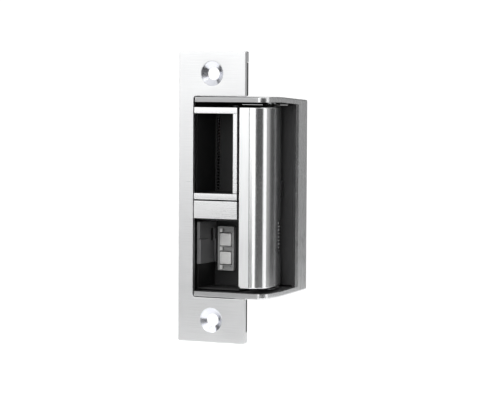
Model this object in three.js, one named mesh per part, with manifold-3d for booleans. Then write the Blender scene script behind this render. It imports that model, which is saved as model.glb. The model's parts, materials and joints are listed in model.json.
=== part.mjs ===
// Electric door strike, as an assembly of separate named pieces.
// Millimetres. The origin is the centre of the faceplate's front face.
// +X runs across the faceplate towards the lip, +Y runs into the jamb, +Z is up.
import * as THREE from 'three';
import { mergeVertices } from 'three/addons/utils/BufferGeometryUtils.js';
import Module from 'manifold-3d';

const wasm = await Module();
wasm.setup();

// ---- driving dimensions ----

const GAP = 0.3; // clearance round a piece which stands in an opening
const SEAT = 0.05; // clearance between faces that rest on each other
const BORE_GAP = 0.1; // clearance all round a pin or a screw in its hole

const PLATE = { halfWidth: 15.875, halfHeight: 61.9, depth: 3.2, corner: 0.8 };
const OPENING = { left: -8.9, halfHeight: 42.9, corner: 1.3 };
const HOLE = { z: 52.4, radius: 2.7, mouthRadius: 5.2, coneDepth: 1.55, rim: 0.15 };
const BACKING = { front: 1.75, halfHeight: 57.2, sideGap: 0.15, holeRadius: 3.6, edgeGap: 0.2 };

// The small pan head screws which hold the pieces together.
const SCREW = {
  radius: 0.9, boreRadius: 1.2, tightRadius: 1, headRadius: 2, crownRadius: 1.6, headDepth: 1.2,
};

// The case: its arms turn the jamb corner and run back to the rear column.
const CASE = {
  left: -12.5, right: 25.4, lipLeft: -8.6, depth: 41, corner: 4.5,
  halfHeight: 42.7, innerHalfHeight: 40.4, taperStart: 15, taper: 1.4,
  wall: 2, sideWall: 2.2, windowDepth: 31.2, columnSlope: 0.9,
};
const LUG = { halfWidth: 9, root: 41.9, top: 49, depth: 2, screwX: 6, screwZ: 46.2, screwTip: 1 };
const POST = { halfWidth: 2.5, xs: [-8.4, 21.1], bottom: 34.2, top: 40.2, front: 35, boreFront: 35.8 };
const COVER = {
  front: 39.7, left: -10.3, right: 23.1, halfHeight: 38.9, screwZ: 36.7, sinkRadius: 2.1, sinkDepth: 0.9,
};
const PARTITION = { left: 11, right: 23.1, front: 31.4, depth: 1, halfHeight: 38.9 };

// The keeper turns about the vertical line through PIVOT.
const PIVOT = { x: 17, y: 22.5, radius: 2, holeRadius: 2.1, halfLength: 41.4 };
const KEEPER = {
  left: 13, right: 24, flatEnd: 17.9, noseRadius: 6.1, sideEnd: 19,
  halfHeight: 38.3, hubRadius: 4.5, hubStart: 0.35, innerEnd: 15,
};
const WASHER = { radius: 3.8, thickness: 1.2, gap: 0.1 };
const TAIL = { halfWidth: 2, root: 2.7, reach: 8.2, bottom: 0, top: 6.4 };
const SPRING_BAY = { bottom: -25, top: -10, radius: 5.3 };
const KEEPER_SPRING = { radius: 3.4, wire: 0.45, turns: 8, bottom: -24, top: -11 };
const LIP = { left: 10.06, right: 12.1, bottom: 1.85, top: 35.45, depth: 14 };
const LIP_PAD = { front: 1.6, back: 13.5, inset: 1 };
const LIP_SCREW = { y: 8.5, radius: 1.25, headRadius: 2, headDepth: 0.9, length: 5.6, zs: [10, 27.3] };

// The fixed pieces round the two pockets.
const RIM = {
  left: -10.4, right: 12.1, bottom: -1.06, top: 38.15, bar: 2.6, depth: 5.1,
  strapRight: -9.65, strapBack: 7.5,
};
const BAR = { left: -10.3, right: 12.2, bottom: -9.13, top: -1.65, depth: 5.1, rootDepth: 7.1 };
const END_SCREW_Y = 5.35;
const LINER = { left: -9.6, right: 10.9, bottom: 0.8, top: 36.6, wall: 0.8, front: 5.2, back: 21 };
const LOWER = { left: -9.6, right: 10.9, bottom: -39.8, top: -9.4, wall: 0.8, front: 5.2, back: 21 };
const SIDE_PLATE = {
  bottom: -29, top: -11, front: 3.5, back: 20, thickness: 0.9, stepBack: 11.5, stepTop: -18.5,
};
const SIDE_SLOT = { front: 15, back: 18, bottom: -19.7, top: -14.6 };

// The monitor switches: a carrier with two square buttons which the bolt's end presses.
const CARRIER = { left: -6.4, right: 1.4, bottom: -32.6, top: -13.4, front: 18, depth: 2.15 };
const BUTTON = { width: 5.4, height: 5.4, x: -2.35, front: 17.4, depth: 6.2, zs: [-19.1, -27.1], travel: 2 };
const SWITCH = { halfWidth: 3, halfHeight: 3.3, front: 25.9, depth: 6 };

// The solenoid stands above the lever, with its axis upright.
const SOLENOID = {
  x: -3.6, y: 29.1, bottom: 17.5, top: 38, plate: 1.5, width: 11,
  webLeft: -10.45, coreBottom: 32.8, flangeRadius: 5.3, coilRadius: 5, tubeRadius: 3.5, boreRadius: 3,
  flange: 0.7, stemRadius: 1.5, stemRise: 0.6, screwInset: 5,
};
const PLUNGER = { radius: 2.8, bottom: 1.8, top: 29, slotTop: 9.2, slotWidth: 3.4, stroke: 3.5 };
const PLUNGER_PIN = { z: 4.77, radius: 0.8, halfLength: 2.6 };
const CLIP = { bottom: 9.8, depth: 0.8, radius: 4.3, groove: 0.35 };
const PLUNGER_SPRING = { radius: 3.6, wire: 0.3, turns: 4.5 };
const LEVER = { x: 3.2, z: 6.5, thickness: 2.8, holeRadius: 1.3, pinRadius: 1.2, hubRadius: 3, armRatio: 7 };

// The lever's tip, where it stands when it blocks the keeper.
const LEVER_TIP = { left: 10.6, right: 14.2, bottom: 2.9, top: 5.8 };

// The plug-in wire connector in the back cover.
const CONNECTOR = {
  x: 12, z: -28, halfWidth: 6, halfHeight: 4, front: 33, flange: 1, wall: 1, floor: 1.5,
  pinX: 2.5, pinRadius: 0.6, pinLength: 4,
};

// ---- materials ----

const FINISH = {
  stainless: { color: 0xd4d6d8, roughness: 0.32, metalness: 1 },
  polished: { color: 0xe2e4e6, roughness: 0.18, metalness: 1 },
  zinc: { color: 0xb4b7ba, roughness: 0.42, metalness: 1 },
  black: { color: 0x17181a, roughness: 0.55, metalness: 0.3 },
  darkSteel: { color: 0x4a4b4d, roughness: 0.5, metalness: 0.8 },
  iron: { color: 0x8d9093, roughness: 0.45, metalness: 0.9 },
  copper: { color: 0xa5562b, roughness: 0.4, metalness: 0.9 },
  brass: { color: 0xc2a14d, roughness: 0.3, metalness: 1 },
  nylon: { color: 0xd9d9d4, roughness: 0.5, metalness: 0 },
  clearNylon: { color: 0xa9aaa8, roughness: 0.45, metalness: 0 },
  blackPlastic: { color: 0x1d1e20, roughness: 0.6, metalness: 0 },
};

// ---- solids ----

function solid(geometry) {
  const clean = geometry.clone();
  clean.deleteAttribute('normal');
  clean.deleteAttribute('uv');
  const merged = mergeVertices(clean, 1e-5);
  const vertProperties = new Float32Array(merged.attributes.position.array);
  const triVerts = new Uint32Array(merged.index.array);
  return new wasm.Manifold(new wasm.Mesh({ numProp: 3, vertProperties, triVerts }));
}

function box(x0, x1, y0, y1, z0, z1) {
  const geometry = new THREE.BoxGeometry(x1 - x0, y1 - y0, z1 - z0);
  geometry.translate((x0 + x1) / 2, (y0 + y1) / 2, (z0 + z1) / 2);
  return solid(geometry);
}

// A shape drawn in plan (x, y) and raised from z0 to z1.
function planPrism(shape, z0, z1, curveSegments = 10) {
  const geometry = new THREE.ExtrudeGeometry(shape, { depth: z1 - z0, bevelEnabled: false, curveSegments });
  geometry.translate(0, 0, z0);
  return solid(geometry);
}

// A shape drawn as (x, z), facing the front, and carried back from y0 to y1.
function frontPrism(shape, y0, y1, curveSegments = 10) {
  const geometry = new THREE.ExtrudeGeometry(shape, { depth: y1 - y0, bevelEnabled: false, curveSegments });
  geometry.rotateX(Math.PI / 2);
  geometry.translate(0, y1, 0);
  return solid(geometry);
}

// A shape drawn as (y, z), seen from the side, and carried across from x0 to x1.
function sidePrism(shape, x0, x1) {
  const geometry = new THREE.ExtrudeGeometry(shape, { depth: x1 - x0, bevelEnabled: false });
  geometry.rotateY(Math.PI / 2);
  geometry.rotateX(Math.PI / 2);
  geometry.translate(x0, 0, 0);
  return solid(geometry);
}

// A round piece turned from (radius, height) pairs, along 'x', 'y' or 'z' from the point at.
function turned(profile, axis, at, segments = 24) {
  const outline = profile.map(([radius, height]) => new THREE.Vector2(radius, height));
  const geometry = new THREE.LatheGeometry(outline, segments);
  if (axis === 'z') geometry.rotateX(Math.PI / 2);
  if (axis === 'x') geometry.rotateZ(-Math.PI / 2);
  geometry.translate(at[0], at[1], at[2]);
  return solid(geometry);
}

function rod(radius, length, axis, at, segments = 24) {
  return turned([[0, 0], [radius, 0], [radius, length], [0, length]], axis, at, segments);
}

function tube(inner, outer, length, axis, at, segments = 24) {
  const outline = [[inner, 0], [outer, 0], [outer, length], [inner, length], [inner, 0]];
  return turned(outline, axis, at, segments);
}

function polygon(points) {
  return new THREE.Shape(points.map(([u, v]) => new THREE.Vector2(u, v)));
}

function roundedRectangle(u0, u1, v0, v1, radius) {
  const shape = new THREE.Shape();
  shape.moveTo(u0 + radius, v0);
  shape.lineTo(u1 - radius, v0);
  shape.absarc(u1 - radius, v0 + radius, radius, -Math.PI / 2, 0);
  shape.lineTo(u1, v1 - radius);
  shape.absarc(u1 - radius, v1 - radius, radius, 0, Math.PI / 2);
  shape.lineTo(u0 + radius, v1);
  shape.absarc(u0 + radius, v1 - radius, radius, Math.PI / 2, Math.PI);
  shape.lineTo(u0, v0 + radius);
  shape.absarc(u0 + radius, v0 + radius, radius, Math.PI, Math.PI * 1.5);
  return shape;
}

// ---- the assembly ----

const group = new THREE.Group();
group.name = 'electric_strike';

function add(name, body, finish) {
  const mesh = body.getMesh();
  const geometry = new THREE.BufferGeometry();
  geometry.setAttribute('position', new THREE.BufferAttribute(new Float32Array(mesh.vertProperties), 3));
  geometry.setIndex(new THREE.BufferAttribute(new Uint32Array(mesh.triVerts), 1));
  const flat = geometry.toNonIndexed();
  flat.computeVertexNormals();
  const piece = new THREE.Mesh(flat, new THREE.MeshStandardMaterial(FINISH[finish]));
  piece.name = name;
  group.add(piece);
}

// ---- faceplate and what holds it ----

// The cut which the opening makes: it runs out through the plate's lip side.
function openingCut(left, halfHeight) {
  const far = PLATE.halfWidth + 5;
  const shape = roundedRectangle(left, far, -halfHeight, halfHeight, OPENING.corner);
  return frontPrism(shape, -1, PLATE.depth + 1, 6);
}

function faceplate() {
  const { halfWidth, halfHeight, depth, corner } = PLATE;
  const outline = roundedRectangle(-halfWidth, halfWidth, -halfHeight, halfHeight, corner);
  let plate = frontPrism(outline, 0, depth, 4);
  plate = plate.subtract(openingCut(OPENING.left, OPENING.halfHeight));
  const rebateHalf = BACKING.halfHeight;
  plate = plate.subtract(box(
    -halfWidth - 1, halfWidth + 1, BACKING.front, depth + 1, -rebateHalf, rebateHalf,
  ));
  const throat = HOLE.rim + HOLE.coneDepth;
  for (const side of [-1, 1]) {
    const z = side * HOLE.z;
    const cone = [
      [0, -1], [HOLE.mouthRadius, -1], [HOLE.mouthRadius, HOLE.rim],
      [HOLE.radius, throat], [HOLE.radius, depth + 1], [0, depth + 1],
    ];
    plate = plate.subtract(turned(cone, 'y', [0, 0, z], 40));
    for (const x of [-LUG.screwX, LUG.screwX]) {
      plate = plate.subtract(rod(SCREW.tightRadius, 2, 'y', [x, LUG.screwTip - GAP, side * LUG.screwZ], 16));
    }
  }
  return plate;
}

function backingPlate() {
  const { front, halfHeight, sideGap, holeRadius, edgeGap } = BACKING;
  const x = PLATE.halfWidth - sideGap;
  let plate = box(-x, x, front + SEAT, PLATE.depth, -halfHeight + sideGap, halfHeight - sideGap);
  plate = plate.subtract(openingCut(OPENING.left - edgeGap, OPENING.halfHeight + edgeGap));
  for (const side of [-1, 1]) {
    plate = plate.subtract(rod(holeRadius, 4, 'y', [0, 0, side * HOLE.z], 32));
    for (const screwX of [-LUG.screwX, LUG.screwX]) {
      plate = plate.subtract(rod(SCREW.boreRadius, 4, 'y', [screwX, 0, side * LUG.screwZ], 16));
    }
  }
  return plate;
}

// A pan head screw's outline, from its tip to the top of its head, which seats at the height given.
function screwProfile(tip, seat) {
  const { radius, headRadius, crownRadius, headDepth } = SCREW;
  const top = seat + headDepth;
  return [
    [0, tip], [radius, tip], [radius, seat], [headRadius, seat],
    [headRadius, top - GAP], [crownRadius, top], [0, top],
  ];
}

function plateScrews() {
  const profile = screwProfile(LUG.screwTip, PLATE.depth + LUG.depth + 2 * SEAT);
  let number = 1;
  for (const side of [-1, 1]) {
    for (const x of [-LUG.screwX, LUG.screwX]) {
      add(`plate_screw_${number}`, turned(profile, 'y', [x, 0, side * LUG.screwZ], 16), 'zinc');
      number += 1;
    }
  }
}

// ---- case ----

// The case's height profile, (y, z): level for a while, then falling away towards the back.
function caseProfile(halfHeight, front, back) {
  const fall = (y) => (CASE.taper * Math.max(0, y - CASE.taperStart)) / (CASE.depth - CASE.taperStart);
  const end = halfHeight - fall(back);
  return polygon([
    [front, -halfHeight], [CASE.taperStart, -halfHeight], [back, -end],
    [back, end], [CASE.taperStart, halfHeight], [front, halfHeight],
  ]);
}

function casePlan() {
  const { left, right, lipLeft, depth, corner } = CASE;
  const shape = new THREE.Shape();
  shape.moveTo(lipLeft, 0);
  shape.lineTo(right - corner, 0);
  shape.absarc(right - corner, corner, corner, -Math.PI / 2, 0);
  shape.lineTo(right, depth);
  shape.lineTo(left, depth);
  shape.lineTo(left, PLATE.depth + SEAT);
  shape.lineTo(lipLeft, PLATE.depth + SEAT);
  return shape;
}

// The shell, hollowed out and open on the keeper's side as far back as the rear column.
function caseShell() {
  const { left, right, wall, sideWall, halfHeight, innerHalfHeight, windowDepth, depth } = CASE;
  let shell = planPrism(casePlan(), -halfHeight - 1, halfHeight + 1, 12);
  shell = shell.intersect(sidePrism(caseProfile(halfHeight, -1, depth), left - 1, right + 1));
  const hollow = caseProfile(innerHalfHeight, -2, depth + 1);
  const window = caseProfile(innerHalfHeight, -2, windowDepth);
  shell = shell.subtract(sidePrism(hollow, left + wall, right - sideWall));
  shell = shell.subtract(sidePrism(window, right - 4, right + 2));
  shell = shell.subtract(columnBevel());
  return shell.intersect(caseEnvelope());
}

// A box between two heights above the middle, or the same below it where side is -1.
function boxOnSide(side, x0, x1, y0, y1, low, high) {
  return side > 0 ? box(x0, x1, y0, y1, low, high) : box(x0, x1, y0, y1, -high, -low);
}

// One of the posts which the cover's screws run into.
function coverPost(side, x) {
  const { halfWidth, front, bottom, top } = POST;
  return boxOnSide(side, x - halfWidth, x + halfWidth, front, COVER.front - SEAT, bottom, top);
}

function caseBody() {
  const front = PLATE.depth + SEAT;
  const { halfWidth, depth, root, top } = LUG;
  let body = caseShell();
  for (const side of [-1, 1]) {
    body = body.add(boxOnSide(side, -halfWidth, halfWidth, front, front + depth, root, top));
    for (const x of POST.xs) {
      body = body.add(coverPost(side, x));
    }
  }
  return body.subtract(caseBores());
}

// Every round hole in the case, as one solid.
function caseBores() {
  const bores = [];
  for (const side of [-1, 1]) {
    const armFoot = side > 0 ? CASE.innerHalfHeight - 2 : -CASE.halfHeight - 2;
    bores.push(rod(PIVOT.holeRadius, 6, 'z', [PIVOT.x, PIVOT.y, armFoot], 24));
    for (const x of [-LUG.screwX, LUG.screwX]) {
      bores.push(rod(SCREW.boreRadius, 4, 'y', [x, PLATE.depth - 1, side * LUG.screwZ], 16));
    }
    for (const x of POST.xs) {
      bores.push(rod(SCREW.tightRadius, 6, 'y', [x, POST.boreFront, side * COVER.screwZ], 16));
    }
  }
  for (const [y, z] of sideScrewPlaces()) {
    bores.push(rod(SCREW.boreRadius, 4, 'x', [CASE.left - 1, y, z], 16));
  }
  return wasm.Manifold.union(bores);
}

// Rounds the corners of the case where it stands in the faceplate's opening.
function caseEnvelope() {
  const { left, right, lipLeft, halfHeight, depth } = CASE;
  const outline = roundedRectangle(lipLeft, right + 5, -halfHeight, halfHeight, OPENING.corner);
  const behind = PLATE.depth + SEAT;
  const inOpening = frontPrism(outline, -1, behind, 6);
  return inOpening.add(box(left - 1, right + 5, behind - 0.001, depth + 1, -halfHeight - 1, halfHeight + 1));
}

// The small slope along the rear column's front edge.
function columnBevel() {
  const { right, windowDepth, innerHalfHeight, columnSlope } = CASE;
  const foot = windowDepth + columnSlope;
  const shape = polygon([
    [right - columnSlope, windowDepth - 1], [right + 1, windowDepth - 1], [right + 1, foot],
    [right, foot], [right - columnSlope, windowDepth],
  ]);
  return planPrism(shape, -innerHalfHeight + 1, innerHalfHeight - 1);
}

// Where the screws through the case's left wall stand, as (y, z).
function sideScrewPlaces() {
  return [
    [END_SCREW_Y, (RIM.top + RIM.bottom) / 2], [END_SCREW_Y, (BAR.top + BAR.bottom) / 2],
    ...solenoidScrewHeights().map((z) => [SOLENOID.y, z]),
  ];
}

function solenoidScrewHeights() {
  return [SOLENOID.bottom + SOLENOID.screwInset, SOLENOID.top - SOLENOID.screwInset];
}

function sideScrews() {
  const names = ['rim_screw', 'crossbar_screw', 'solenoid_screw_1', 'solenoid_screw_2'];
  const shank = CASE.wall + 0.75;
  const profile = screwProfile(-shank, SEAT).map(([radius, height]) => [radius, -height]).reverse();
  sideScrewPlaces().forEach(([y, z], index) => {
    add(names[index], turned(profile, 'x', [CASE.left, y, z], 16), 'zinc');
  });
}

function backCover() {
  const { front, left, right, halfHeight, screwZ, sinkRadius, sinkDepth } = COVER;
  const { x, z, halfWidth, halfHeight: socketHalf } = CONNECTOR;
  let cover = box(left, right, front, CASE.depth, -halfHeight, halfHeight);
  cover = cover.subtract(box(
    x - halfWidth - GAP, x + halfWidth + GAP, front - 1, CASE.depth + 1,
    z - socketHalf - GAP, z + socketHalf + GAP,
  ));
  for (const side of [-1, 1]) {
    for (const screwX of POST.xs) {
      cover = cover.subtract(rod(SCREW.boreRadius, 4, 'y', [screwX, front - 1, side * screwZ], 16));
      cover = cover.subtract(rod(sinkRadius, 2, 'y', [screwX, CASE.depth - sinkDepth, side * screwZ], 16));
    }
  }
  return cover;
}

// The cover's screws: their low flat heads fill the sinks flush with its back.
function backCoverScrews() {
  const seat = CASE.depth - COVER.sinkDepth + SEAT;
  const tip = POST.boreFront + 0.4;
  const headRadius = COVER.sinkRadius - BORE_GAP;
  const profile = [
    [0, tip], [SCREW.radius, tip], [SCREW.radius, seat], [headRadius, seat],
    [headRadius, CASE.depth], [0, CASE.depth],
  ];
  let number = 1;
  for (const side of [-1, 1]) {
    for (const x of POST.xs) {
      add(`back_cover_screw_${number}`, turned(profile, 'y', [x, 0, side * COVER.screwZ], 16), 'zinc');
      number += 1;
    }
  }
}

function partition() {
  const { left, right, front, depth, halfHeight } = PARTITION;
  return box(left, right - SEAT, front, front + depth, -halfHeight, halfHeight);
}

// ---- keeper ----

function keeperPlan() {
  const { left, right, flatEnd, noseRadius, sideEnd, hubRadius, hubStart, innerEnd } = KEEPER;
  const shape = new THREE.Shape();
  shape.moveTo(left, 0);
  shape.lineTo(flatEnd, 0);
  shape.absarc(flatEnd, noseRadius, noseRadius, -Math.PI / 2, 0);
  shape.lineTo(right, sideEnd);
  shape.lineTo(PIVOT.x + hubRadius * Math.cos(hubStart), PIVOT.y + hubRadius * Math.sin(hubStart));
  shape.absarc(PIVOT.x, PIVOT.y, hubRadius, hubStart, Math.PI);
  shape.lineTo(left, innerEnd);
  return shape;
}

function keeper() {
  const { halfHeight } = KEEPER;
  const { x, y, holeRadius } = PIVOT;
  let body = planPrism(keeperPlan(), -halfHeight, halfHeight, 12);
  body = body.subtract(tailBlock(TAIL.root, SEAT));
  const bay = SPRING_BAY;
  body = body.subtract(rod(bay.radius, bay.top - bay.bottom, 'z', [x, y, bay.bottom], 32));
  body = body.subtract(rod(holeRadius, 2 * halfHeight + 2, 'z', [x, y, -halfHeight - 1], 24));
  for (const z of LIP_SCREW.zs) {
    body = body.subtract(lipScrewHole(z));
  }
  return body;
}

// The hole for one of the lip's screws, through the lip, its pad and the keeper's inner face.
function lipScrewHole(z) {
  const start = LIP.left - 1;
  const end = KEEPER.left + 3;
  return rod(LIP_SCREW.radius + BORE_GAP, end - start, 'x', [start, LIP_SCREW.y, z], 16);
}

// The block let into the keeper's hub, grown by extra all round; it starts a little way behind the pin.
function tailBlock(root, extra) {
  const { halfWidth, reach, bottom, top } = TAIL;
  const { x, y } = PIVOT;
  return box(
    x - halfWidth - extra, x + halfWidth + extra, y + root - extra, y + reach, bottom - extra, top + extra,
  );
}

// The bright liner plate on the keeper's inner face, which the latch bears on.
function keeperLip() {
  const { left, right, bottom, top, depth } = LIP;
  const { headRadius, headDepth } = LIP_SCREW;
  let lip = box(left, right, 0, depth, bottom, top);
  for (const z of LIP_SCREW.zs) {
    lip = lip.subtract(lipScrewHole(z));
    lip = lip.subtract(rod(headRadius + BORE_GAP, headDepth + 1, 'x', [left - 1, LIP_SCREW.y, z], 16));
  }
  return lip;
}

function keeperLipPad() {
  const { right, bottom, top } = LIP;
  const { front, back, inset } = LIP_PAD;
  let pad = box(right + SEAT, KEEPER.left - SEAT, front, back, bottom + inset, top - inset);
  for (const z of LIP_SCREW.zs) {
    pad = pad.subtract(lipScrewHole(z));
  }
  return pad;
}

function keeperLipScrews() {
  const { y, radius, headRadius, headDepth, length, zs } = LIP_SCREW;
  const seat = headDepth - SEAT;
  const profile = [
    [0, SEAT], [headRadius, SEAT], [headRadius, seat], [radius, seat], [radius, length], [0, length],
  ];
  zs.forEach((z, index) => {
    add(`keeper_lip_screw_${index + 1}`, turned(profile, 'x', [LIP.left, y, z], 16), 'zinc');
  });
}

function keeperPin() {
  const { x, y, radius, halfLength } = PIVOT;
  return rod(radius, 2 * halfLength, 'z', [x, y, -halfLength], 24);
}

// The washer above the keeper, or below it where side is -1.
function thrustWasher(side) {
  const { radius, thickness, gap } = WASHER;
  const low = KEEPER.halfHeight + gap;
  const z = side > 0 ? low : -low - thickness;
  return tube(PIVOT.holeRadius, radius, thickness, 'z', [PIVOT.x, PIVOT.y, z], 24);
}

class CoilCurve extends THREE.Curve {
  constructor(radius, bottom, top, turns) {
    super();
    this.radius = radius;
    this.bottom = bottom;
    this.top = top;
    this.turns = turns;
  }

  getPoint(t, target = new THREE.Vector3()) {
    const angle = t * this.turns * 2 * Math.PI;
    const height = this.bottom + (this.top - this.bottom) * t;
    return target.set(this.radius * Math.cos(angle), this.radius * Math.sin(angle), height);
  }
}

function coilSpring(x, y, { radius, wire, turns }, bottom, top) {
  const curve = new CoilCurve(radius, bottom + wire, top - wire, turns);
  const section = new THREE.Shape();
  section.absarc(0, 0, wire, 0, 2 * Math.PI);
  const steps = Math.ceil(turns * 14);
  const settings = { steps, extrudePath: curve, bevelEnabled: false, curveSegments: 3 };
  const geometry = new THREE.ExtrudeGeometry(section, settings);
  geometry.translate(x, y, 0);
  return solid(geometry);
}

function keeperSpring() {
  return coilSpring(PIVOT.x, PIVOT.y, KEEPER_SPRING, KEEPER_SPRING.bottom, KEEPER_SPRING.top);
}

function plungerSpring() {
  return coilSpring(SOLENOID.x, SOLENOID.y, PLUNGER_SPRING, CLIP.bottom + CLIP.depth, SOLENOID.bottom);
}

// ---- pockets ----

function pocketRim() {
  const { left, right, bottom, top, bar, depth, strapRight, strapBack } = RIM;
  const inOpening = OPENING.left + GAP;
  const behindPlate = PLATE.depth + SEAT;
  let rim = box(left, strapRight, behindPlate, strapBack, bottom, top);
  for (const low of [bottom, top - bar]) {
    rim = rim.add(box(inOpening, right, 0, depth, low, low + bar));
    rim = rim.add(box(left, inOpening + GAP, behindPlate, depth, low, low + bar));
  }
  return rim.subtract(rod(SCREW.tightRadius, 4, 'x', [left - 1, END_SCREW_Y, (top + bottom) / 2], 16));
}

function crossbar() {
  const { left, right, bottom, top, depth, rootDepth } = BAR;
  const inOpening = OPENING.left + GAP;
  const behindPlate = PLATE.depth + SEAT;
  let bar = box(inOpening, right, 0, depth, bottom, top);
  bar = bar.add(box(left, inOpening + GAP, behindPlate, rootDepth, bottom, top));
  return bar.subtract(rod(SCREW.tightRadius, 4, 'x', [left - 1, END_SCREW_Y, (top + bottom) / 2], 16));
}

// A tray open to the front and to the keeper's side.
function tray({ left, right, bottom, top, wall, front, back }) {
  const outer = box(left, right, front, back, bottom, top);
  return outer.subtract(box(left + wall, right + 1, front - 1, back - wall, bottom + wall, top - wall));
}

function pocketLiner() {
  const { left, wall, front } = LINER;
  const low = RIM.bottom + RIM.bar + SEAT;
  const high = RIM.top - RIM.bar - SEAT;
  return tray(LINER).add(box(left, left + wall, PLATE.depth + SEAT, front + 0.1, low, high));
}

function lowerLiner() {
  let liner = tray(LOWER);
  for (const z of BUTTON.zs) {
    const half = BUTTON.width / 2 + GAP;
    liner = liner.subtract(box(
      BUTTON.x - half, BUTTON.x + half, LOWER.back - 2, LOWER.back + 1, z - half, z + half,
    ));
  }
  return liner;
}

function sidePlate() {
  const { bottom, top, front, back, thickness, stepBack, stepTop } = SIDE_PLATE;
  const left = LOWER.left + LOWER.wall + SEAT;
  let plate = box(left, left + thickness, front, back, bottom, top);
  plate = plate.add(box(left, left + 2 * thickness, front, stepBack, bottom, stepTop));
  const slot = SIDE_SLOT;
  return plate.subtract(box(left - 1, left + 3, slot.front, slot.back, slot.bottom, slot.top));
}

// ---- monitor switches ----

function switchCarrier() {
  const { left, right, bottom, top, front, depth } = CARRIER;
  const halfX = BUTTON.width / 2 + GAP;
  const halfZ = BUTTON.height / 2 + GAP;
  let carrier = box(left, right, front, front + depth, bottom, top);
  for (const z of BUTTON.zs) {
    carrier = carrier.subtract(box(
      BUTTON.x - halfX, BUTTON.x + halfX, front - 1, front + depth + 1, z - halfZ, z + halfZ,
    ));
  }
  return carrier;
}

function monitorButton(z) {
  const { x, width, height, front, depth } = BUTTON;
  return box(x - width / 2, x + width / 2, front, front + depth, z - height / 2, z + height / 2);
}

function microSwitch(z) {
  const { halfWidth, halfHeight, front, depth } = SWITCH;
  const { x } = BUTTON;
  return box(x - halfWidth, x + halfWidth, front, front + depth, z - halfHeight, z + halfHeight);
}

// ---- solenoid and lock ----

function solenoidYoke() {
  const { x, y, bottom, top, plate, width, webLeft, boreRadius, stemRadius } = SOLENOID;
  const right = x + SOLENOID.flangeRadius + 0.5;
  let yoke = box(webLeft, right, y - width / 2, y + width / 2, bottom, top);
  yoke = yoke.subtract(box(webLeft + plate, right + 1, y - width, y + width, bottom + plate, top - plate));
  yoke = yoke.subtract(rod(boreRadius, plate + 2, 'z', [x, y, bottom - 1], 24));
  yoke = yoke.subtract(rod(stemRadius + BORE_GAP, plate + 2, 'z', [x, y, top - plate - 1], 16));
  for (const z of solenoidScrewHeights()) {
    yoke = yoke.subtract(rod(SCREW.tightRadius, 4, 'x', [webLeft - 1, y, z], 16));
  }
  return yoke;
}

function solenoidBobbin() {
  const { x, y, bottom, top, plate, flange, flangeRadius, tubeRadius, boreRadius } = SOLENOID;
  const low = bottom + plate + SEAT;
  const high = top - plate - SEAT;
  const profile = [
    [boreRadius, low], [flangeRadius, low], [flangeRadius, low + flange], [tubeRadius, low + flange],
    [tubeRadius, high - flange], [flangeRadius, high - flange], [flangeRadius, high],
    [boreRadius, high], [boreRadius, low],
  ];
  return turned(profile, 'z', [x, y, 0], 28);
}

function solenoidCoil() {
  const { x, y, bottom, top, plate, flange, coilRadius, tubeRadius } = SOLENOID;
  const low = bottom + plate + flange + 2 * SEAT;
  const high = top - plate - flange - 2 * SEAT;
  return tube(tubeRadius + SEAT, coilRadius, high - low, 'z', [x, y, low], 28);
}

function solenoidCore() {
  const { x, y, top, plate, coreBottom, boreRadius, stemRadius, stemRise } = SOLENOID;
  const radius = boreRadius - SEAT;
  const shoulder = top - plate - SEAT;
  const profile = [
    [0, coreBottom], [radius, coreBottom], [radius, shoulder],
    [stemRadius, shoulder], [stemRadius, top + stemRise], [0, top + stemRise],
  ];
  return turned(profile, 'z', [x, y, 0], 24);
}

function plunger() {
  const { x, y } = SOLENOID;
  const { radius, bottom, top, slotTop, slotWidth } = PLUNGER;
  let body = rod(radius, top - bottom, 'z', [x, y, bottom], 24);
  body = body.subtract(box(x - 4, x + 4, y - slotWidth / 2, y + slotWidth / 2, bottom - 1, slotTop));
  body = body.subtract(rod(PLUNGER_PIN.radius + 0.02, 8, 'y', [leverPinX(), y - 4, PLUNGER_PIN.z], 16));
  return body.subtract(tube(
    radius - CLIP.groove, radius + 2, CLIP.depth + 2 * SEAT, 'z', [x, y, CLIP.bottom - SEAT], 24,
  ));
}

function leverPinX() {
  return LEVER.x - Math.sqrt(LEVER.armRatio ** 2 - (LEVER.z - PLUNGER_PIN.z) ** 2);
}

function plungerPin() {
  const { radius, halfLength } = PLUNGER_PIN;
  return rod(radius, 2 * halfLength, 'y', [leverPinX(), SOLENOID.y - halfLength, PLUNGER_PIN.z], 16);
}

function plungerClip() {
  const inner = PLUNGER.radius - CLIP.groove + SEAT;
  return tube(inner, CLIP.radius, CLIP.depth, 'z', [SOLENOID.x, SOLENOID.y, CLIP.bottom], 24);
}

// Turns a point of the lever (x, z) back from where it blocks the keeper to where it rests.
function leverAtRest([x, z]) {
  const angle = PLUNGER.stroke / LEVER.armRatio;
  const across = x - LEVER.x;
  const up = z - LEVER.z;
  return [
    LEVER.x + across * Math.cos(angle) - up * Math.sin(angle),
    LEVER.z + across * Math.sin(angle) + up * Math.cos(angle),
  ];
}

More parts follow.
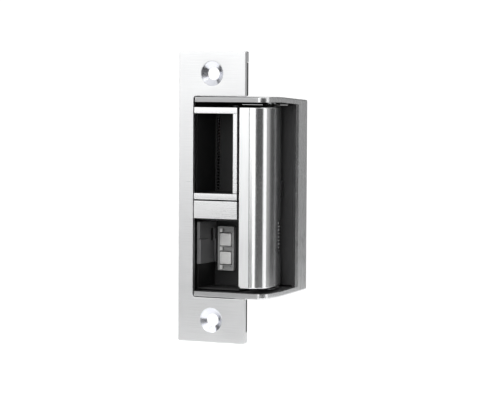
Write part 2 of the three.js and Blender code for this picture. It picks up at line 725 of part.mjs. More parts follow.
function lockLever() {
  const { x, z, thickness, holeRadius, hubRadius } = LEVER;
  const y0 = SOLENOID.y - thickness / 2;
  const y1 = SOLENOID.y + thickness / 2;
  const { left, right, bottom, top } = LEVER_TIP;
  const tipCorners = [[left, bottom], [right, bottom], [right, top], [left, top]];
  const pinX = leverPinX();
  const pinZ = PLUNGER_PIN.z;
  let lever = rod(hubRadius, thickness, 'y', [x, y0, z], 24);
  const arm = polygon([
    [x + 0.5, z - 2.6], [8.6, TAIL.top + 0.5], ...tipCorners.map(leverAtRest), [x - 1, z + 2.7],
  ]);
  lever = lever.add(frontPrism(arm, y0, y1));
  const fork = polygon([
    [x, z - 2.4], [pinX - 1.5, pinZ - 1.9], [pinX - 1.5, pinZ + 1.9], [x, z + 2.4],
  ]);
  lever = lever.add(frontPrism(fork, y0, y1));
  const slotHalf = PLUNGER_PIN.radius + 0.2;
  const slotEnd = pinX + slotHalf + 0.1;
  const slot = roundedRectangle(pinX - 4, slotEnd, pinZ - slotHalf, pinZ + slotHalf, slotHalf - SEAT);
  lever = lever.subtract(frontPrism(slot, y0 - 1, y1 + 1, 5));
  return lever.subtract(rod(holeRadius, thickness + 2, 'y', [x, y0 - 1, z], 20));
}

function leverPin() {
  const { x, z, pinRadius } = LEVER;
  const front = LINER.back + SEAT;
  return rod(pinRadius, COVER.front - SEAT - front, 'y', [x, front, z], 20);
}

// ---- wire connector ----

function wireConnector() {
  const { x, z, halfWidth, halfHeight, front, flange, wall, floor, pinX, pinRadius } = CONNECTOR;
  let body = box(x - halfWidth, x + halfWidth, front, CASE.depth - 0.2, z - halfHeight, z + halfHeight);
  const seat = COVER.front - SEAT;
  body = body.add(box(
    x - halfWidth - flange, x + halfWidth + flange, seat - 1, seat,
    z - halfHeight - flange, z + halfHeight + flange,
  ));
  body = body.subtract(box(
    x - halfWidth + wall, x + halfWidth - wall, front + floor, CASE.depth,
    z - halfHeight + wall, z + halfHeight - wall,
  ));
  for (const side of [-1, 1]) {
    body = body.subtract(rod(pinRadius + 0.02, 4, 'y', [x + side * pinX, front - 1, z], 12));
  }
  return body;
}

function connectorPin(side) {
  const { x, z, front, pinX, pinRadius, pinLength } = CONNECTOR;
  return rod(pinRadius, pinLength, 'y', [x + side * pinX, front - 0.4, z], 12);
}

// ---- build ----

add('faceplate', faceplate(), 'stainless');
add('backing_plate', backingPlate(), 'black');
plateScrews();
add('case_body', caseBody(), 'stainless');
sideScrews();
add('back_cover', backCover(), 'zinc');
backCoverScrews();
add('partition', partition(), 'black');
add('pocket_rim', pocketRim(), 'polished');
add('pocket_liner', pocketLiner(), 'blackPlastic');
add('crossbar', crossbar(), 'polished');
add('lower_liner', lowerLiner(), 'blackPlastic');
add('side_plate', sidePlate(), 'darkSteel');

add('keeper', keeper(), 'stainless');
add('keeper_tail', tailBlock(TAIL.root, 0), 'darkSteel');
add('keeper_lip', keeperLip(), 'polished');
add('keeper_lip_pad', keeperLipPad(), 'blackPlastic');
keeperLipScrews();
add('keeper_pin', keeperPin(), 'zinc');
add('thrust_washer_top', thrustWasher(1), 'blackPlastic');
add('thrust_washer_bottom', thrustWasher(-1), 'blackPlastic');
add('keeper_spring', keeperSpring(), 'iron');

add('switch_carrier', switchCarrier(), 'clearNylon');
add('monitor_button_upper', monitorButton(BUTTON.zs[0]), 'nylon');
add('monitor_button_lower', monitorButton(BUTTON.zs[1]), 'nylon');
add('switch_upper', microSwitch(BUTTON.zs[0]), 'blackPlastic');
add('switch_lower', microSwitch(BUTTON.zs[1]), 'blackPlastic');

add('solenoid_yoke', solenoidYoke(), 'zinc');
add('solenoid_bobbin', solenoidBobbin(), 'nylon');
add('solenoid_coil', solenoidCoil(), 'copper');
add('solenoid_core', solenoidCore(), 'iron');
add('plunger', plunger(), 'iron');
add('plunger_pin', plungerPin(), 'zinc');
add('plunger_clip', plungerClip(), 'darkSteel');
add('plunger_spring', plungerSpring(), 'iron');
add('lock_lever', lockLever(), 'darkSteel');
add('lever_pin', leverPin(), 'zinc');
add('wire_connector', wireConnector(), 'nylon');
add('connector_pin_1', connectorPin(-1), 'brass');
add('connector_pin_2', connectorPin(1), 'brass');

export default group;
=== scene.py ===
"""Electric door strike: detailed surfaces, materials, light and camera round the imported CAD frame."""
import json
import math

import bmesh
import bpy
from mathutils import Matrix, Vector


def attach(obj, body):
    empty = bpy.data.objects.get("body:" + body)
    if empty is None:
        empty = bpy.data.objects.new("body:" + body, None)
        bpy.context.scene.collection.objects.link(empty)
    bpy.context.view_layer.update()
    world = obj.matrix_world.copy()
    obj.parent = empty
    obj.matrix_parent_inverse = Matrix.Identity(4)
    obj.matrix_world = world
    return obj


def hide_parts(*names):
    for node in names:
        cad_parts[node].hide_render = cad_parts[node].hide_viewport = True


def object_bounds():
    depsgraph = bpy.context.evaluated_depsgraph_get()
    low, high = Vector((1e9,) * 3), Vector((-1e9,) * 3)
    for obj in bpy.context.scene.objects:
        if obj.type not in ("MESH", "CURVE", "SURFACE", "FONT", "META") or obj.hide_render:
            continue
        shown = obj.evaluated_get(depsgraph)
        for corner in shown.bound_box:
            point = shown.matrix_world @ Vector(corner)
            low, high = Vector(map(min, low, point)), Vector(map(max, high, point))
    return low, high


MM = 0.001

# ---- camera: places in metres, lens and sensor in millimetres ----
CAMERA_TARGET = (18.4 * MM, 0.0, -0.67 * MM)
CAMERA_DISTANCE = 1.0
CAMERA_YAW = math.radians(27.07)
CAMERA_PITCH = math.radians(2.93)
CAMERA_ROLL = math.radians(0.33)
CAMERA_LENS = 171.0
CAMERA_SENSOR = 36.0

# ---- stage, in metres ----
FLOOR_CENTRE = (-0.02, 0.22)
FLOOR_RADIUS = 0.42
FLOOR_SIDES = 96
FLOOR_DROP = 40 * MM
ROOM_BRIGHTNESS = 0.09
BACKDROP_BRIGHTNESS = 1.1
OVERHEAD_STRENGTH = 1.9
TABLE_WASH_STRENGTH = 0.4
OVERHEAD_ANGLE = math.radians(110)
OVERHEAD_DISTANCE = 1.5
LIGHT_TARGET = (0.01, 0.01, 0.0)
LIGHT_DISTANCE = 1.0

# Each box's azimuth and elevation in degrees, its width and height in metres, and its brightness.
SOFT_BOXES = {
    "front_left_box": (-28, 20, 1.3, 0.84, 1.55),
    "front_box": (14, 14, 0.4, 0.9, 1.45),
    "left_box": (-108, 10, 1.0, 0.9, 0.95),
    "right_box": (109, 13, 0.68, 0.85, 1.15),
    "back_right_box": (143.5, 13, 0.52, 0.66, 0.34),
    "rear_box": (168, 40, 0.6, 0.35, 0.9),
}

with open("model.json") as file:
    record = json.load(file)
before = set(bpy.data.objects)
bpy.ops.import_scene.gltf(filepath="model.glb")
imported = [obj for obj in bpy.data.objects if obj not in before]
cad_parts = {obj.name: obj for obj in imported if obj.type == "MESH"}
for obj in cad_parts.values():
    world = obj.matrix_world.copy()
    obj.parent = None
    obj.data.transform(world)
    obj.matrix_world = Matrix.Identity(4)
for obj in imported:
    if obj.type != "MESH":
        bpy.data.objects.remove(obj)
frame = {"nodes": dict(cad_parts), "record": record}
cad_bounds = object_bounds()
nodes = frame["nodes"]
body_of = {node: body for body, members in frame["record"]["behaviour"]["bodies"].items() for node in members}
slot_of = {entry["node"]: entry["material_slot"] for entry in frame["record"]["subparts"]}


# ---- node helpers ----

def new_material(name):
    """A material with its node tree and its main shader."""
    material = bpy.data.materials.new(name)
    material.use_nodes = True
    tree = material.node_tree
    shader = tree.nodes["Principled BSDF"]
    return material, tree, shader


def object_position(tree, scale):
    """The surface point in the object's own frame, stretched by scale, to drive a pattern."""
    position = tree.nodes.new("ShaderNodeTexCoord")
    stretch = tree.nodes.new("ShaderNodeMapping")
    stretch.inputs["Scale"].default_value = scale
    tree.links.new(position.outputs["Object"], stretch.inputs["Vector"])
    return stretch.outputs["Vector"]


def noise(tree, vector, scale, detail=3.0):
    """A cloudy pattern between 0 and 1."""
    texture = tree.nodes.new("ShaderNodeTexNoise")
    texture.inputs["Scale"].default_value = scale
    texture.inputs["Detail"].default_value = detail
    tree.links.new(vector, texture.inputs["Vector"])
    return texture.outputs["Fac"]


def remap(tree, value, low, high):
    """Spreads the middle half of a pattern's values over low to high."""
    span = tree.nodes.new("ShaderNodeMapRange")
    span.inputs["From Min"].default_value = 0.25
    span.inputs["From Max"].default_value = 0.75
    span.inputs["To Min"].default_value = low
    span.inputs["To Max"].default_value = high
    tree.links.new(value, span.inputs["Value"])
    return span.outputs["Result"]


def ramp(tree, value, stops):
    """Maps a pattern to colours; stops is a list of (position, colour)."""
    node = tree.nodes.new("ShaderNodeValToRGB")
    elements = node.color_ramp.elements
    while len(elements) < len(stops):
        elements.new(0.5)
    for element, (place, colour) in zip(elements, stops):
        element.position = place
        element.color = (*colour, 1.0)
    tree.links.new(value, node.inputs["Fac"])
    return node.outputs["Color"]


def bump(tree, shader, height, distance, strength=0.4):
    """Makes a pattern show as fine relief."""
    node = tree.nodes.new("ShaderNodeBump")
    node.inputs["Distance"].default_value = distance
    node.inputs["Strength"].default_value = strength
    tree.links.new(height, node.inputs["Height"])
    tree.links.new(node.outputs["Normal"], shader.inputs["Normal"])


def shade(colour, factor):
    """A colour made darker or lighter by a factor."""
    return tuple(min(1.0, channel * factor) for channel in colour)


# ---- materials ----

def brushed_metal(name, colour, roughness, grain, spread=0.06, depth=0.004):
    """Brushed metal: fine scratches along one axis of the object, broken up by faint cloudy wear."""
    material, tree, shader = new_material(name)
    shader.inputs["Metallic"].default_value = 1.0
    scratches = noise(tree, object_position(tree, grain), 1.0, 4.0)
    clouds = noise(tree, object_position(tree, (60, 60, 60)), 1.0, 2.0)
    shades = ramp(tree, scratches, [(0.3, shade(colour, 0.93)), (0.7, shade(colour, 1.03))])
    tree.links.new(shades, shader.inputs["Base Color"])
    add = tree.nodes.new("ShaderNodeMath")
    add.operation = "ADD"
    tree.links.new(remap(tree, scratches, roughness - spread, roughness + spread), add.inputs[0])
    tree.links.new(remap(tree, clouds, -0.02, 0.03), add.inputs[1])
    tree.links.new(add.outputs["Value"], shader.inputs["Roughness"])
    bump(tree, shader, scratches, depth * MM, 0.35)
    return material


def plated_metal(name, colour, roughness, mottle=0.1):
    """Plated or cast metal: a fine even grain and cloudy patches of duller plating."""
    material, tree, shader = new_material(name)
    shader.inputs["Metallic"].default_value = 1.0
    patches = noise(tree, object_position(tree, (160, 160, 160)), 1.0, 5.0)
    grain = noise(tree, object_position(tree, (5200, 5200, 5200)), 1.0, 2.0)
    shades = ramp(tree, patches, [(0.3, shade(colour, 1 - mottle)), (0.7, shade(colour, 1 + mottle / 2))])
    tree.links.new(shades, shader.inputs["Base Color"])
    dullness = remap(tree, patches, roughness - mottle / 2, roughness + mottle / 2)
    tree.links.new(dullness, shader.inputs["Roughness"])
    bump(tree, shader, grain, 0.01 * MM, 0.4)
    return material


def moulded_plastic(name, colour, roughness, grain=3000, subsurface=0.0):
    """Moulded plastic: a fine matt texture and slight shade variation."""
    material, tree, shader = new_material(name)
    patches = noise(tree, object_position(tree, (180, 180, 180)), 1.0, 2.0)
    texture = noise(tree, object_position(tree, (grain, grain, grain)), 1.0, 2.0)
    shades = ramp(tree, patches, [(0.3, shade(colour, 0.9)), (0.7, shade(colour, 1.05))])
    tree.links.new(shades, shader.inputs["Base Color"])
    tree.links.new(remap(tree, texture, roughness - 0.06, roughness + 0.06), shader.inputs["Roughness"])
    if subsurface:
        shader.inputs["Subsurface Weight"].default_value = subsurface
        shader.inputs["Subsurface Scale"].default_value = 0.6 * MM
        shader.inputs["Subsurface Radius"].default_value = (1.0, 1.0, 1.0)
    bump(tree, shader, texture, 0.012 * MM, 0.35)
    return material


def wound_wire(name, colour):
    """Enamelled winding: close horizontal turns of fine wire."""
    material, tree, shader = new_material(name)
    shader.inputs["Metallic"].default_value = 0.85
    shader.inputs["Roughness"].default_value = 0.32
    turns = tree.nodes.new("ShaderNodeTexWave")
    turns.bands_direction = "Z"
    turns.inputs["Scale"].default_value = 1.0
    turns.inputs["Distortion"].default_value = 0.6
    tree.links.new(object_position(tree, (1100, 1100, 1100)), turns.inputs["Vector"])
    shades = ramp(tree, turns.outputs["Fac"], [(0.0, shade(colour, 0.45)), (1.0, colour)])
    tree.links.new(shades, shader.inputs["Base Color"])
    bump(tree, shader, turns.outputs["Fac"], 0.08 * MM, 0.6)
    return material


def painted_shade_to_rear(material, start, end, factor):
    """Paints shade into a material's colour: scales it down from factor 1 at start to factor at end, along
    the object's depth.
    """
    tree = material.node_tree
    colour = tree.nodes["Principled BSDF"].inputs["Base Color"]
    position = tree.nodes.new("ShaderNodeTexCoord")
    depth = tree.nodes.new("ShaderNodeSeparateXYZ")
    tree.links.new(position.outputs["Object"], depth.inputs["Vector"])
    fade = tree.nodes.new("ShaderNodeMapRange")
    fade.inputs["From Min"].default_value = start * MM
    fade.inputs["From Max"].default_value = end * MM
    fade.inputs["To Min"].default_value = 1.0
    fade.inputs["To Max"].default_value = factor
    tree.links.new(depth.outputs["Y"], fade.inputs["Value"])
    scale = tree.nodes.new("ShaderNodeVectorMath")
    scale.operation = "SCALE"
    tree.links.new(colour.links[0].from_socket, scale.inputs["Vector"])
    tree.links.new(fade.outputs["Result"], scale.inputs["Scale"])
    tree.links.new(scale.outputs["Vector"], colour)


# Pattern repeats per metre along x, y and z: scratches are long one way and close together the others.
UPRIGHT_GRAIN = (5200, 5200, 70)
LEVEL_GRAIN = (70, 5200, 5200)

MATERIALS = {
    "stainless": brushed_metal("brushed_stainless", (0.74, 0.745, 0.75), 0.27, UPRIGHT_GRAIN, 0.03, 0.0015),
    "plate": brushed_metal("brushed_plate", (0.78, 0.785, 0.79), 0.33, LEVEL_GRAIN),
    "jaw": brushed_metal("satin_jaw", (0.87, 0.875, 0.88), 0.22, UPRIGHT_GRAIN, 0.03, 0.001),
    "strip": brushed_metal("brushed_strip", (0.93, 0.935, 0.94), 0.33, UPRIGHT_GRAIN, 0.03, 0.001),
    "polished": brushed_metal("satin_rim", (0.86, 0.865, 0.87), 0.28, LEVEL_GRAIN, 0.05, 0.003),
    "countersink": plated_metal("turned_countersink", (0.74, 0.75, 0.8), 0.2),
    "zinc": plated_metal("bright_zinc", (0.56, 0.575, 0.59), 0.3, 0.04),
    "iron": plated_metal("soft_iron", (0.5, 0.51, 0.52), 0.34),
    "dark_steel": plated_metal("dark_zinc", (0.12, 0.12, 0.125), 0.42),
    "black_plate": plated_metal("black_oxide", (0.012, 0.012, 0.013), 0.5),
    "brass": plated_metal("brass", (0.75, 0.58, 0.24), 0.26),
    "copper": wound_wire("enamelled_copper", (0.55, 0.2, 0.07)),
    "black_plastic": moulded_plastic("black_nylon", (0.006, 0.006, 0.0063), 0.55),
    "nylon": moulded_plastic("white_nylon", (0.52, 0.52, 0.515), 0.42, 2600, 0.15),
    "clear_nylon": moulded_plastic("milky_nylon", (0.23, 0.232, 0.23), 0.38, 2600, 0.2),
    # Painted shade: a darker copy of the brushed steel for the arms' front faces, which the faceplate's edge
    # shades.
    "arm_front": brushed_metal("arm_painted_shade", (0.42, 0.422, 0.425), 0.4, LEVEL_GRAIN, 0.05, 0.002),
    # Dark colour which paints shade on the case's inside, the column's front and the cover's inside; the
    # partition also has it.
    "inner_wall": moulded_plastic("inner_wall", (0.035, 0.035, 0.036), 0.6),
    "grey_plate": moulded_plastic("phosphated_plate", (0.09, 0.09, 0.092), 0.45),
}

# Painted shade: the keeper's long side darkens towards its rear, where it mirrors the dark inside of the
# case.
painted_shade_to_rear(MATERIALS["jaw"], 5.5, 9.0, 0.6)

LOOK_OF_NODE = {
    "faceplate": "plate",
    "keeper": "jaw",
    "partition": "inner_wall",
    "side_plate": "grey_plate",
}


def look(node):
    """The material of a CAD node: its own, or that of its material slot."""
    return MATERIALS[LOOK_OF_NODE.get(node, slot_of[node])]


# ---- outlines ----

def corner_arc(before, here, after, radius, steps):
    """The points which round one corner of a loop, whichever way it turns."""
    before, here, after = Vector(before), Vector(here), Vector(after)
    inward = (before - here).normalized()
    outward = (after - here).normalized()
    half_angle = inward.angle(outward) / 2
    reach = radius / math.tan(half_angle)
    centre = here + (inward + outward).normalized() * (radius / math.sin(half_angle))
    start = here + inward * reach - centre
    end = here + outward * reach - centre
    sweep = start.angle_signed(end)
    return [centre + turned_vector(start, -sweep * step / steps) for step in range(steps + 1)]


def turned_vector(vector, angle):
    """A vector turned anticlockwise by an angle."""
    return Vector((
        vector.x * math.cos(angle) - vector.y * math.sin(angle),
        vector.x * math.sin(angle) + vector.y * math.cos(angle),
    ))


def rounded_loop(corners, steps=8):
    """A closed loop through (u, v, radius) corners; it runs anticlockwise, with the material on its left."""
    loop = []
    for index, (u, v, radius) in enumerate(corners):
        before = corners[index - 1][:2]
        after = corners[(index + 1) % len(corners)][:2]
        if radius:
            loop.extend(corner_arc(before, (u, v), after, radius, steps))
        else:
            loop.append(Vector((u, v)))
    return loop


def rectangle(u0, u1, v0, v1, radius=0.0, steps=4):
    """An anticlockwise rectangle with rounded corners."""
    return rounded_loop([(u0, v0, radius), (u1, v0, radius), (u1, v1, radius), (u0, v1, radius)], steps)


def offset_loop(loop, distance):
    """Moves every corner of a loop towards its left, into the material."""
    moved = []
    for index, here in enumerate(loop):
        first = (here - loop[index - 1]).normalized()
        second = (loop[(index + 1) % len(loop)] - here).normalized()
        left_first = Vector((-first.y, first.x))
        left_second = Vector((-second.y, second.x))
        mitre = (left_first + left_second) / max(0.3, 1 + left_first.dot(left_second))
        moved.append(here + mitre * distance)
    return moved


# ---- meshes, in millimetres ----

# Points nearer than this are one point.
WELD = 0.002

# How (u, v, w) of an outline and its depth turn into (x, y, z).
PLAN = (0, 1, 2)
FRONT = (0, 2, 1)


def placed(point, axes):
    """A point of an outline in metres, along the object's axes."""
    return [point[axis] * MM for axis in axes]


def bridge(solid, rings):
    """Joins each ring of points to the next with a band of faces."""
    for lower, upper in zip(rings, rings[1:]):
        count = len(lower)
        for index in range(count):
            after = (index + 1) % count
            solid.faces.new((lower[index], lower[after], upper[after], upper[index]))


def fill(solid, rings):
    """Caps the flat area between an outer ring and the rings of its holes."""
    edges = []
    for ring in rings:
        for index, vertex in enumerate(ring):
            edges.append(solid.edges.get((vertex, ring[(index + 1) % len(ring)])))
    bmesh.ops.triangle_fill(solid, edges=edges, use_beauty=True, use_dissolve=False)


def finished(solid, name):
    """Welds points which fall together, turns the faces outwards and makes the mesh."""
    bmesh.ops.remove_doubles(solid, verts=solid.verts, dist=WELD * MM)
    bmesh.ops.recalc_face_normals(solid, faces=solid.faces)
    if solid.calc_volume(signed=True) < 0:
        bmesh.ops.reverse_faces(solid, faces=solid.faces)
    mesh = bpy.data.meshes.new(name)
    solid.to_mesh(mesh)
    solid.free()
    return mesh


def eased_levels(low, high, ease, steps):
    """Pairs of inset and level which round both edges of a wall between low and high."""
    turns = [math.pi / 2 * step / steps for step in range(steps + 1)]
    quarter = [(ease * (1 - math.sin(turn)), ease * (1 - math.cos(turn))) for turn in turns]
    lower = [(inset, low + rise) for inset, rise in quarter]
    upper = [(inset, high - rise) for inset, rise in reversed(quarter)]
    return lower + upper


def slab(name, axes, outline, low, high, ease, holes=(), steps=3):
    """A plate with rounded edges; a hole is (u, v, [(radius, level), ...]) or a clockwise loop."""
    solid = bmesh.new()
    levels = eased_levels(low, high, ease, steps)
    walls = []
    for loop in [outline] + [hole for hole in holes if isinstance(hole, list)]:
        walls.append([[(u, v, level) for u, v in offset_loop(loop, inset)] for inset, level in levels])
    for u, v, profile in [hole for hole in holes if isinstance(hole, tuple)]:
        wall = []
        for radius, level in profile:
            wall.append([(u + radius * cosine, v - radius * sine, level) for cosine, sine in CIRCLE])
        walls.append(wall)
    built = []
    for wall in walls:
        rings = [[solid.verts.new(placed(point, axes)) for point in ring] for ring in wall]
        bridge(solid, rings)
        built.append(rings)
    fill(solid, [rings[0] for rings in built])
    fill(solid, [rings[-1] for rings in built])
    return finished(solid, name)


CIRCLE_SIDES = 64
CIRCLE = [
    (math.cos(2 * math.pi * side / CIRCLE_SIDES), math.sin(2 * math.pi * side / CIRCLE_SIDES))
    for side in range(CIRCLE_SIDES)
]


def cross_recess(cosine, sine, reach=1.0, half_width=0.24):
    """The distance from a screw's axis to the edge of its cross recess, in one direction."""
    long_way = max(abs(cosine), abs(sine))
    short_way = max(1e-6, min(abs(cosine), abs(sine)))
    return min(reach / long_way, half_width / short_way)


def turned(name, axis, at, profile):
    """A round piece from (radius, height) pairs; a radius may be a function of cosine and sine."""
    solid = bmesh.new()
    axes = {"x": (2, 0, 1), "y": (0, 2, 1), "z": (0, 1, 2)}[axis]
    rings = []
    for radius, height in profile:
        ring = []
        for cosine, sine in CIRCLE:
            reach = radius(cosine, sine) if callable(radius) else radius
            ring.append(solid.verts.new(placed((reach * cosine, reach * sine, height), axes)))
        rings.append(ring)
    bridge(solid, rings)
    solid.faces.new(rings[0])
    solid.faces.new(rings[-1])
    bmesh.ops.translate(solid, verts=solid.verts, vec=Vector(at) * MM)
    return finished(solid, name)


def block(name, x0, x1, y0, y1, z0, z1, ease):
    """A box with every edge rounded by ease."""
    return slab(name, PLAN, rectangle(x0, x1, y0, y1, ease), z0, z1, ease)


def wire(name, path, radius, sides=12):
    """A round wire along a path of points, with flat ends."""
    solid = bmesh.new()
    rings = []
    for index, here in enumerate(path):
        ahead = (path[min(index + 1, len(path) - 1)] - path[max(index - 1, 0)]).normalized()
        across = ahead.cross(Vector((0, 0, 1))).normalized()
        above = across.cross(ahead)
        turns = [2 * math.pi * side / sides for side in range(sides)]
        offsets = [(across * math.cos(turn) + above * math.sin(turn)) * radius for turn in turns]
        rings.append([solid.verts.new((here + offset) * MM) for offset in offsets])
    bridge(solid, rings)
    solid.faces.new(rings[0])
    solid.faces.new(rings[-1])
    return finished(solid, name)


def welded(mesh):
    """The mesh with the slivers along its cut edges closed up."""
    solid = bmesh.new()
    solid.from_mesh(mesh)
    return finished(solid, mesh.name)


def combined(mesh, others, operation):
    """The mesh after the others are cut out of it or joined to it."""
    base = bpy.data.objects.new("base", mesh)
    bpy.context.scene.collection.objects.link(base)
    tools = []
    for other in others:
        tool = bpy.data.objects.new("tool", other)
        bpy.context.scene.collection.objects.link(tool)
        tools.append(tool)
        step = base.modifiers.new("combine", "BOOLEAN")
        step.operation = operation
        step.solver = "MANIFOLD"
        step.object = tool
    bpy.context.view_layer.update()
    result = bpy.data.meshes.new_from_object(base.evaluated_get(bpy.context.evaluated_depsgraph_get()))
    for leftover in [base] + tools:
        bpy.data.objects.remove(leftover)
    return welded(result)


# ---- pieces ----

def link(name, mesh):
    """A mesh as an object in the scene."""
    piece = bpy.data.objects.new(name, mesh)
    bpy.context.scene.collection.objects.link(piece)
    return piece


def smooth_by_angle(mesh, angle):
    """Smooth shading, with edges sharper than angle kept crisp."""
    mesh.shade_smooth()
    solid = bmesh.new()
    solid.from_mesh(mesh)
    for edge in solid.edges:
        edge.smooth = len(edge.link_faces) == 2 and edge.calc_face_angle(0.0) < angle
    solid.to_mesh(mesh)
    solid.free()


def stand_for(piece, node):
    """Rides the piece with the CAD node that it stands for, and hides that node."""
    piece.data.materials.clear()
    piece.data.materials.append(look(node))
    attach(piece, body_of[node])
    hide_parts(node)


def flat_shaded(piece, sharpest=40):
    """Keeps flat faces flat and rounded edges smooth."""
    smooth_by_angle(piece.data, math.radians(sharpest))
    weigh = piece.modifiers.new("weigh", "WEIGHTED_NORMAL")
    weigh.keep_sharp = True
    weigh.weight = 80


def finish(node, mesh, sharpest=40):
    """Puts a detailed mesh in the place of a CAD node."""
    piece = link(f"{node}_finish", mesh)
    flat_shaded(piece, sharpest)
    stand_for(piece, node)
    return piece


def eased(node, width, segments=3, sharpest=32):
    """A copy of a CAD solid with every corner eased, as a machined or moulded piece has."""
    mesh = nodes[node].data.copy()
    solid = bmesh.new()
    solid.from_mesh(mesh)
    bmesh.ops.remove_doubles(solid, verts=solid.verts, dist=0.002 * MM)
    bmesh.ops.dissolve_limit(solid, angle_limit=math.radians(0.5), verts=solid.verts, edges=solid.edges)
    solid.to_mesh(mesh)
    solid.free()
    piece = link(f"{node}_finish", mesh)
    bevel = piece.modifiers.new("ease", "BEVEL")
    bevel.width = width * MM
    bevel.segments = segments
    bevel.limit_method = "ANGLE"
    bevel.angle_limit = math.radians(sharpest)
    bevel.use_clamp_overlap = False
    bevel.harden_normals = True
    smooth_by_angle(mesh, math.radians(sharpest))
    stand_for(piece, node)
    return piece


# ---- faceplate ----

PLATE_HALF_WIDTH = 15.875
PLATE_HALF_HEIGHT = 61.9
PLATE_DEPTH = 3.2
BEHIND_PLATE = 3.25
OPENING_LEFT = -8.9
OPENING_HALF = 42.9
OPENING_CORNER = 1.3
COUNTERSINK_Z = 52.4
COUNTERSINK_RADIUS = 5.3
PLATE_HOLE_RADIUS = 2.7
REBATE_FRONT = 1.75
REBATE_HALF = 57.2
BACKING_HALF_WIDTH = 15.72
BACKING_HALF_HEIGHT = 57.05
BACKING_FRONT = 1.8
LUG_SCREW_X = (-6.0, 6.0)
LUG_SCREW_Z = 46.2


def plate_outline(half_width, half_height, opening_left, opening_half, corner, lip_corner):
    """A tall plate with an opening which runs out through its right side."""
    return rounded_loop([
        (-half_width, -half_height, corner),
        (half_width, -half_height, corner),
        (half_width, -opening_half, lip_corner),
        (opening_left, -opening_half, OPENING_CORNER),
        (opening_left, opening_half, OPENING_CORNER),
        (half_width, opening_half, lip_corner),
        (half_width, half_height, corner),
        (-half_width, half_height, corner),
    ])


def faceplate():
    """The steel plate, with two countersunk holes and a rebate across its back."""
    outline = plate_outline(PLATE_HALF_WIDTH, PLATE_HALF_HEIGHT, OPENING_LEFT, OPENING_HALF, 0.8, 0.25)
    countersink = [
        (COUNTERSINK_RADIUS + 0.15, 0.0),
        (COUNTERSINK_RADIUS, 0.05),
        (COUNTERSINK_RADIUS - 0.08, 0.14),
        (COUNTERSINK_RADIUS - 0.1, 0.3),
        (PLATE_HOLE_RADIUS + 0.08, 1.66),
        (PLATE_HOLE_RADIUS, 1.78),
        (PLATE_HOLE_RADIUS, PLATE_DEPTH),
    ]
    holes = [(0.0, side * COUNTERSINK_Z, countersink) for side in (-1, 1)]
    plate = slab("faceplate", FRONT, outline, 0.0, PLATE_DEPTH, 0.22, holes)
    reach = PLATE_HALF_WIDTH + 1
    rebate = block("rebate", -reach, reach, REBATE_FRONT, PLATE_DEPTH + 1, -REBATE_HALF, REBATE_HALF, 0.05)
    return combined(plate, [rebate], "DIFFERENCE")


def backing_plate():
    """The black plate let into the faceplate's back."""
    outline = plate_outline(
        BACKING_HALF_WIDTH, BACKING_HALF_HEIGHT, OPENING_LEFT - 0.2, OPENING_HALF + 0.2, 0.2, 0.2,
    )
    holes = []
    for side in (-1, 1):
        holes.append((0.0, side * COUNTERSINK_Z, [(3.6, BACKING_FRONT), (3.6, PLATE_DEPTH)]))
        for x in LUG_SCREW_X:
            holes.append((x, side * LUG_SCREW_Z, [(1.3, BACKING_FRONT), (1.3, PLATE_DEPTH)]))
    return slab("backing", FRONT, outline, BACKING_FRONT, PLATE_DEPTH, 0.1, holes)


# ---- case ----

ARM_LEFT = -8.6
ARM_CORNER = 4.5
CASE_LEFT = -12.5
CASE_RIGHT = 25.4
CASE_DEPTH = 41.0
CASE_HALF = 42.7
CASE_INNER_HALF = 40.4
CASE_CORNER = 0.75
CASE_EASE = 0.7
CAVITY_LEFT = -10.5
CAVITY_RIGHT = 23.2
WINDOW_BACK = 31.2
TAPER_START = 15.0
TAPER = 1.4
PIVOT = (17.0, 22.5)
PIN_HOLE_RADIUS = 2.1
LUG_HALF_WIDTH = 9.0
LUG_BOTTOM = 41.9
LUG_TOP = 49.0
POST_HALF_WIDTH = 2.5
POST_BOTTOM = 34.2
POST_TOP = 40.2
POST_BACK = 39.6
COVER_FRONT = 39.7
COVER_HALF = 38.9
COVER_SCREW_X = (-8.4, 21.1)
COVER_SCREW_Z = 36.7
FRAME_SCREW_Y = 5.35
RIM_SCREW_Z = 18.545
CROSSBAR_SCREW_Z = -5.39
SOLENOID_SCREW_Y = 29.1
SOLENOID_SCREW_HEIGHTS = (22.5, 33.0)


def bore(axis, at, radius, length):
    """A round cutter which starts at a point and runs along one axis."""
    return turned("bore", axis, at, [(radius, 0), (radius, length)])


def tapered(mesh):
    """Makes the top and bottom of a tall mesh fall away towards the back, as the case does."""
    solid = bmesh.new()
    solid.from_mesh(mesh)
    everything = solid.verts[:] + solid.edges[:] + solid.faces[:]
    bmesh.ops.bisect_plane(solid, geom=everything, plane_co=(0, TAPER_START * MM, 0), plane_no=(0, 1, 0))
    for vertex in solid.verts:
        beyond = vertex.co.y / MM - TAPER_START
        if beyond > 0:
            fall = TAPER * beyond / (CASE_DEPTH - TAPER_START)
            vertex.co.z -= math.copysign(fall * MM, vertex.co.z)
    return finished(solid, mesh.name)


def case_shell():
    """The case before anything is cut out of it."""
    outline = rounded_loop([
        (ARM_LEFT, 0.0, CASE_CORNER),
        (CASE_RIGHT, 0.0, ARM_CORNER),
        (CASE_RIGHT, CASE_DEPTH, CASE_CORNER),
        (CASE_LEFT, CASE_DEPTH, CASE_CORNER),
        (CASE_LEFT, BEHIND_PLATE, CASE_CORNER),
        (ARM_LEFT, BEHIND_PLATE, 0),
    ], 14)
    return tapered(slab("case", PLAN, outline, -CASE_HALF, CASE_HALF, CASE_EASE, steps=5))


def case_rooms():
    """Cutters for the room inside, and for the window in the right wall which the keeper fills."""
    half = CASE_INNER_HALF
    window_half = CASE_INNER_HALF - 0.02
    room = block("room", CAVITY_LEFT, CAVITY_RIGHT, -3.0, CASE_DEPTH + 3, -half, half, 0.25)
    window = block("window", 20.0, 28.0, -3.0, WINDOW_BACK, -window_half, window_half, 0.25)
    return [tapered(room), tapered(window)]


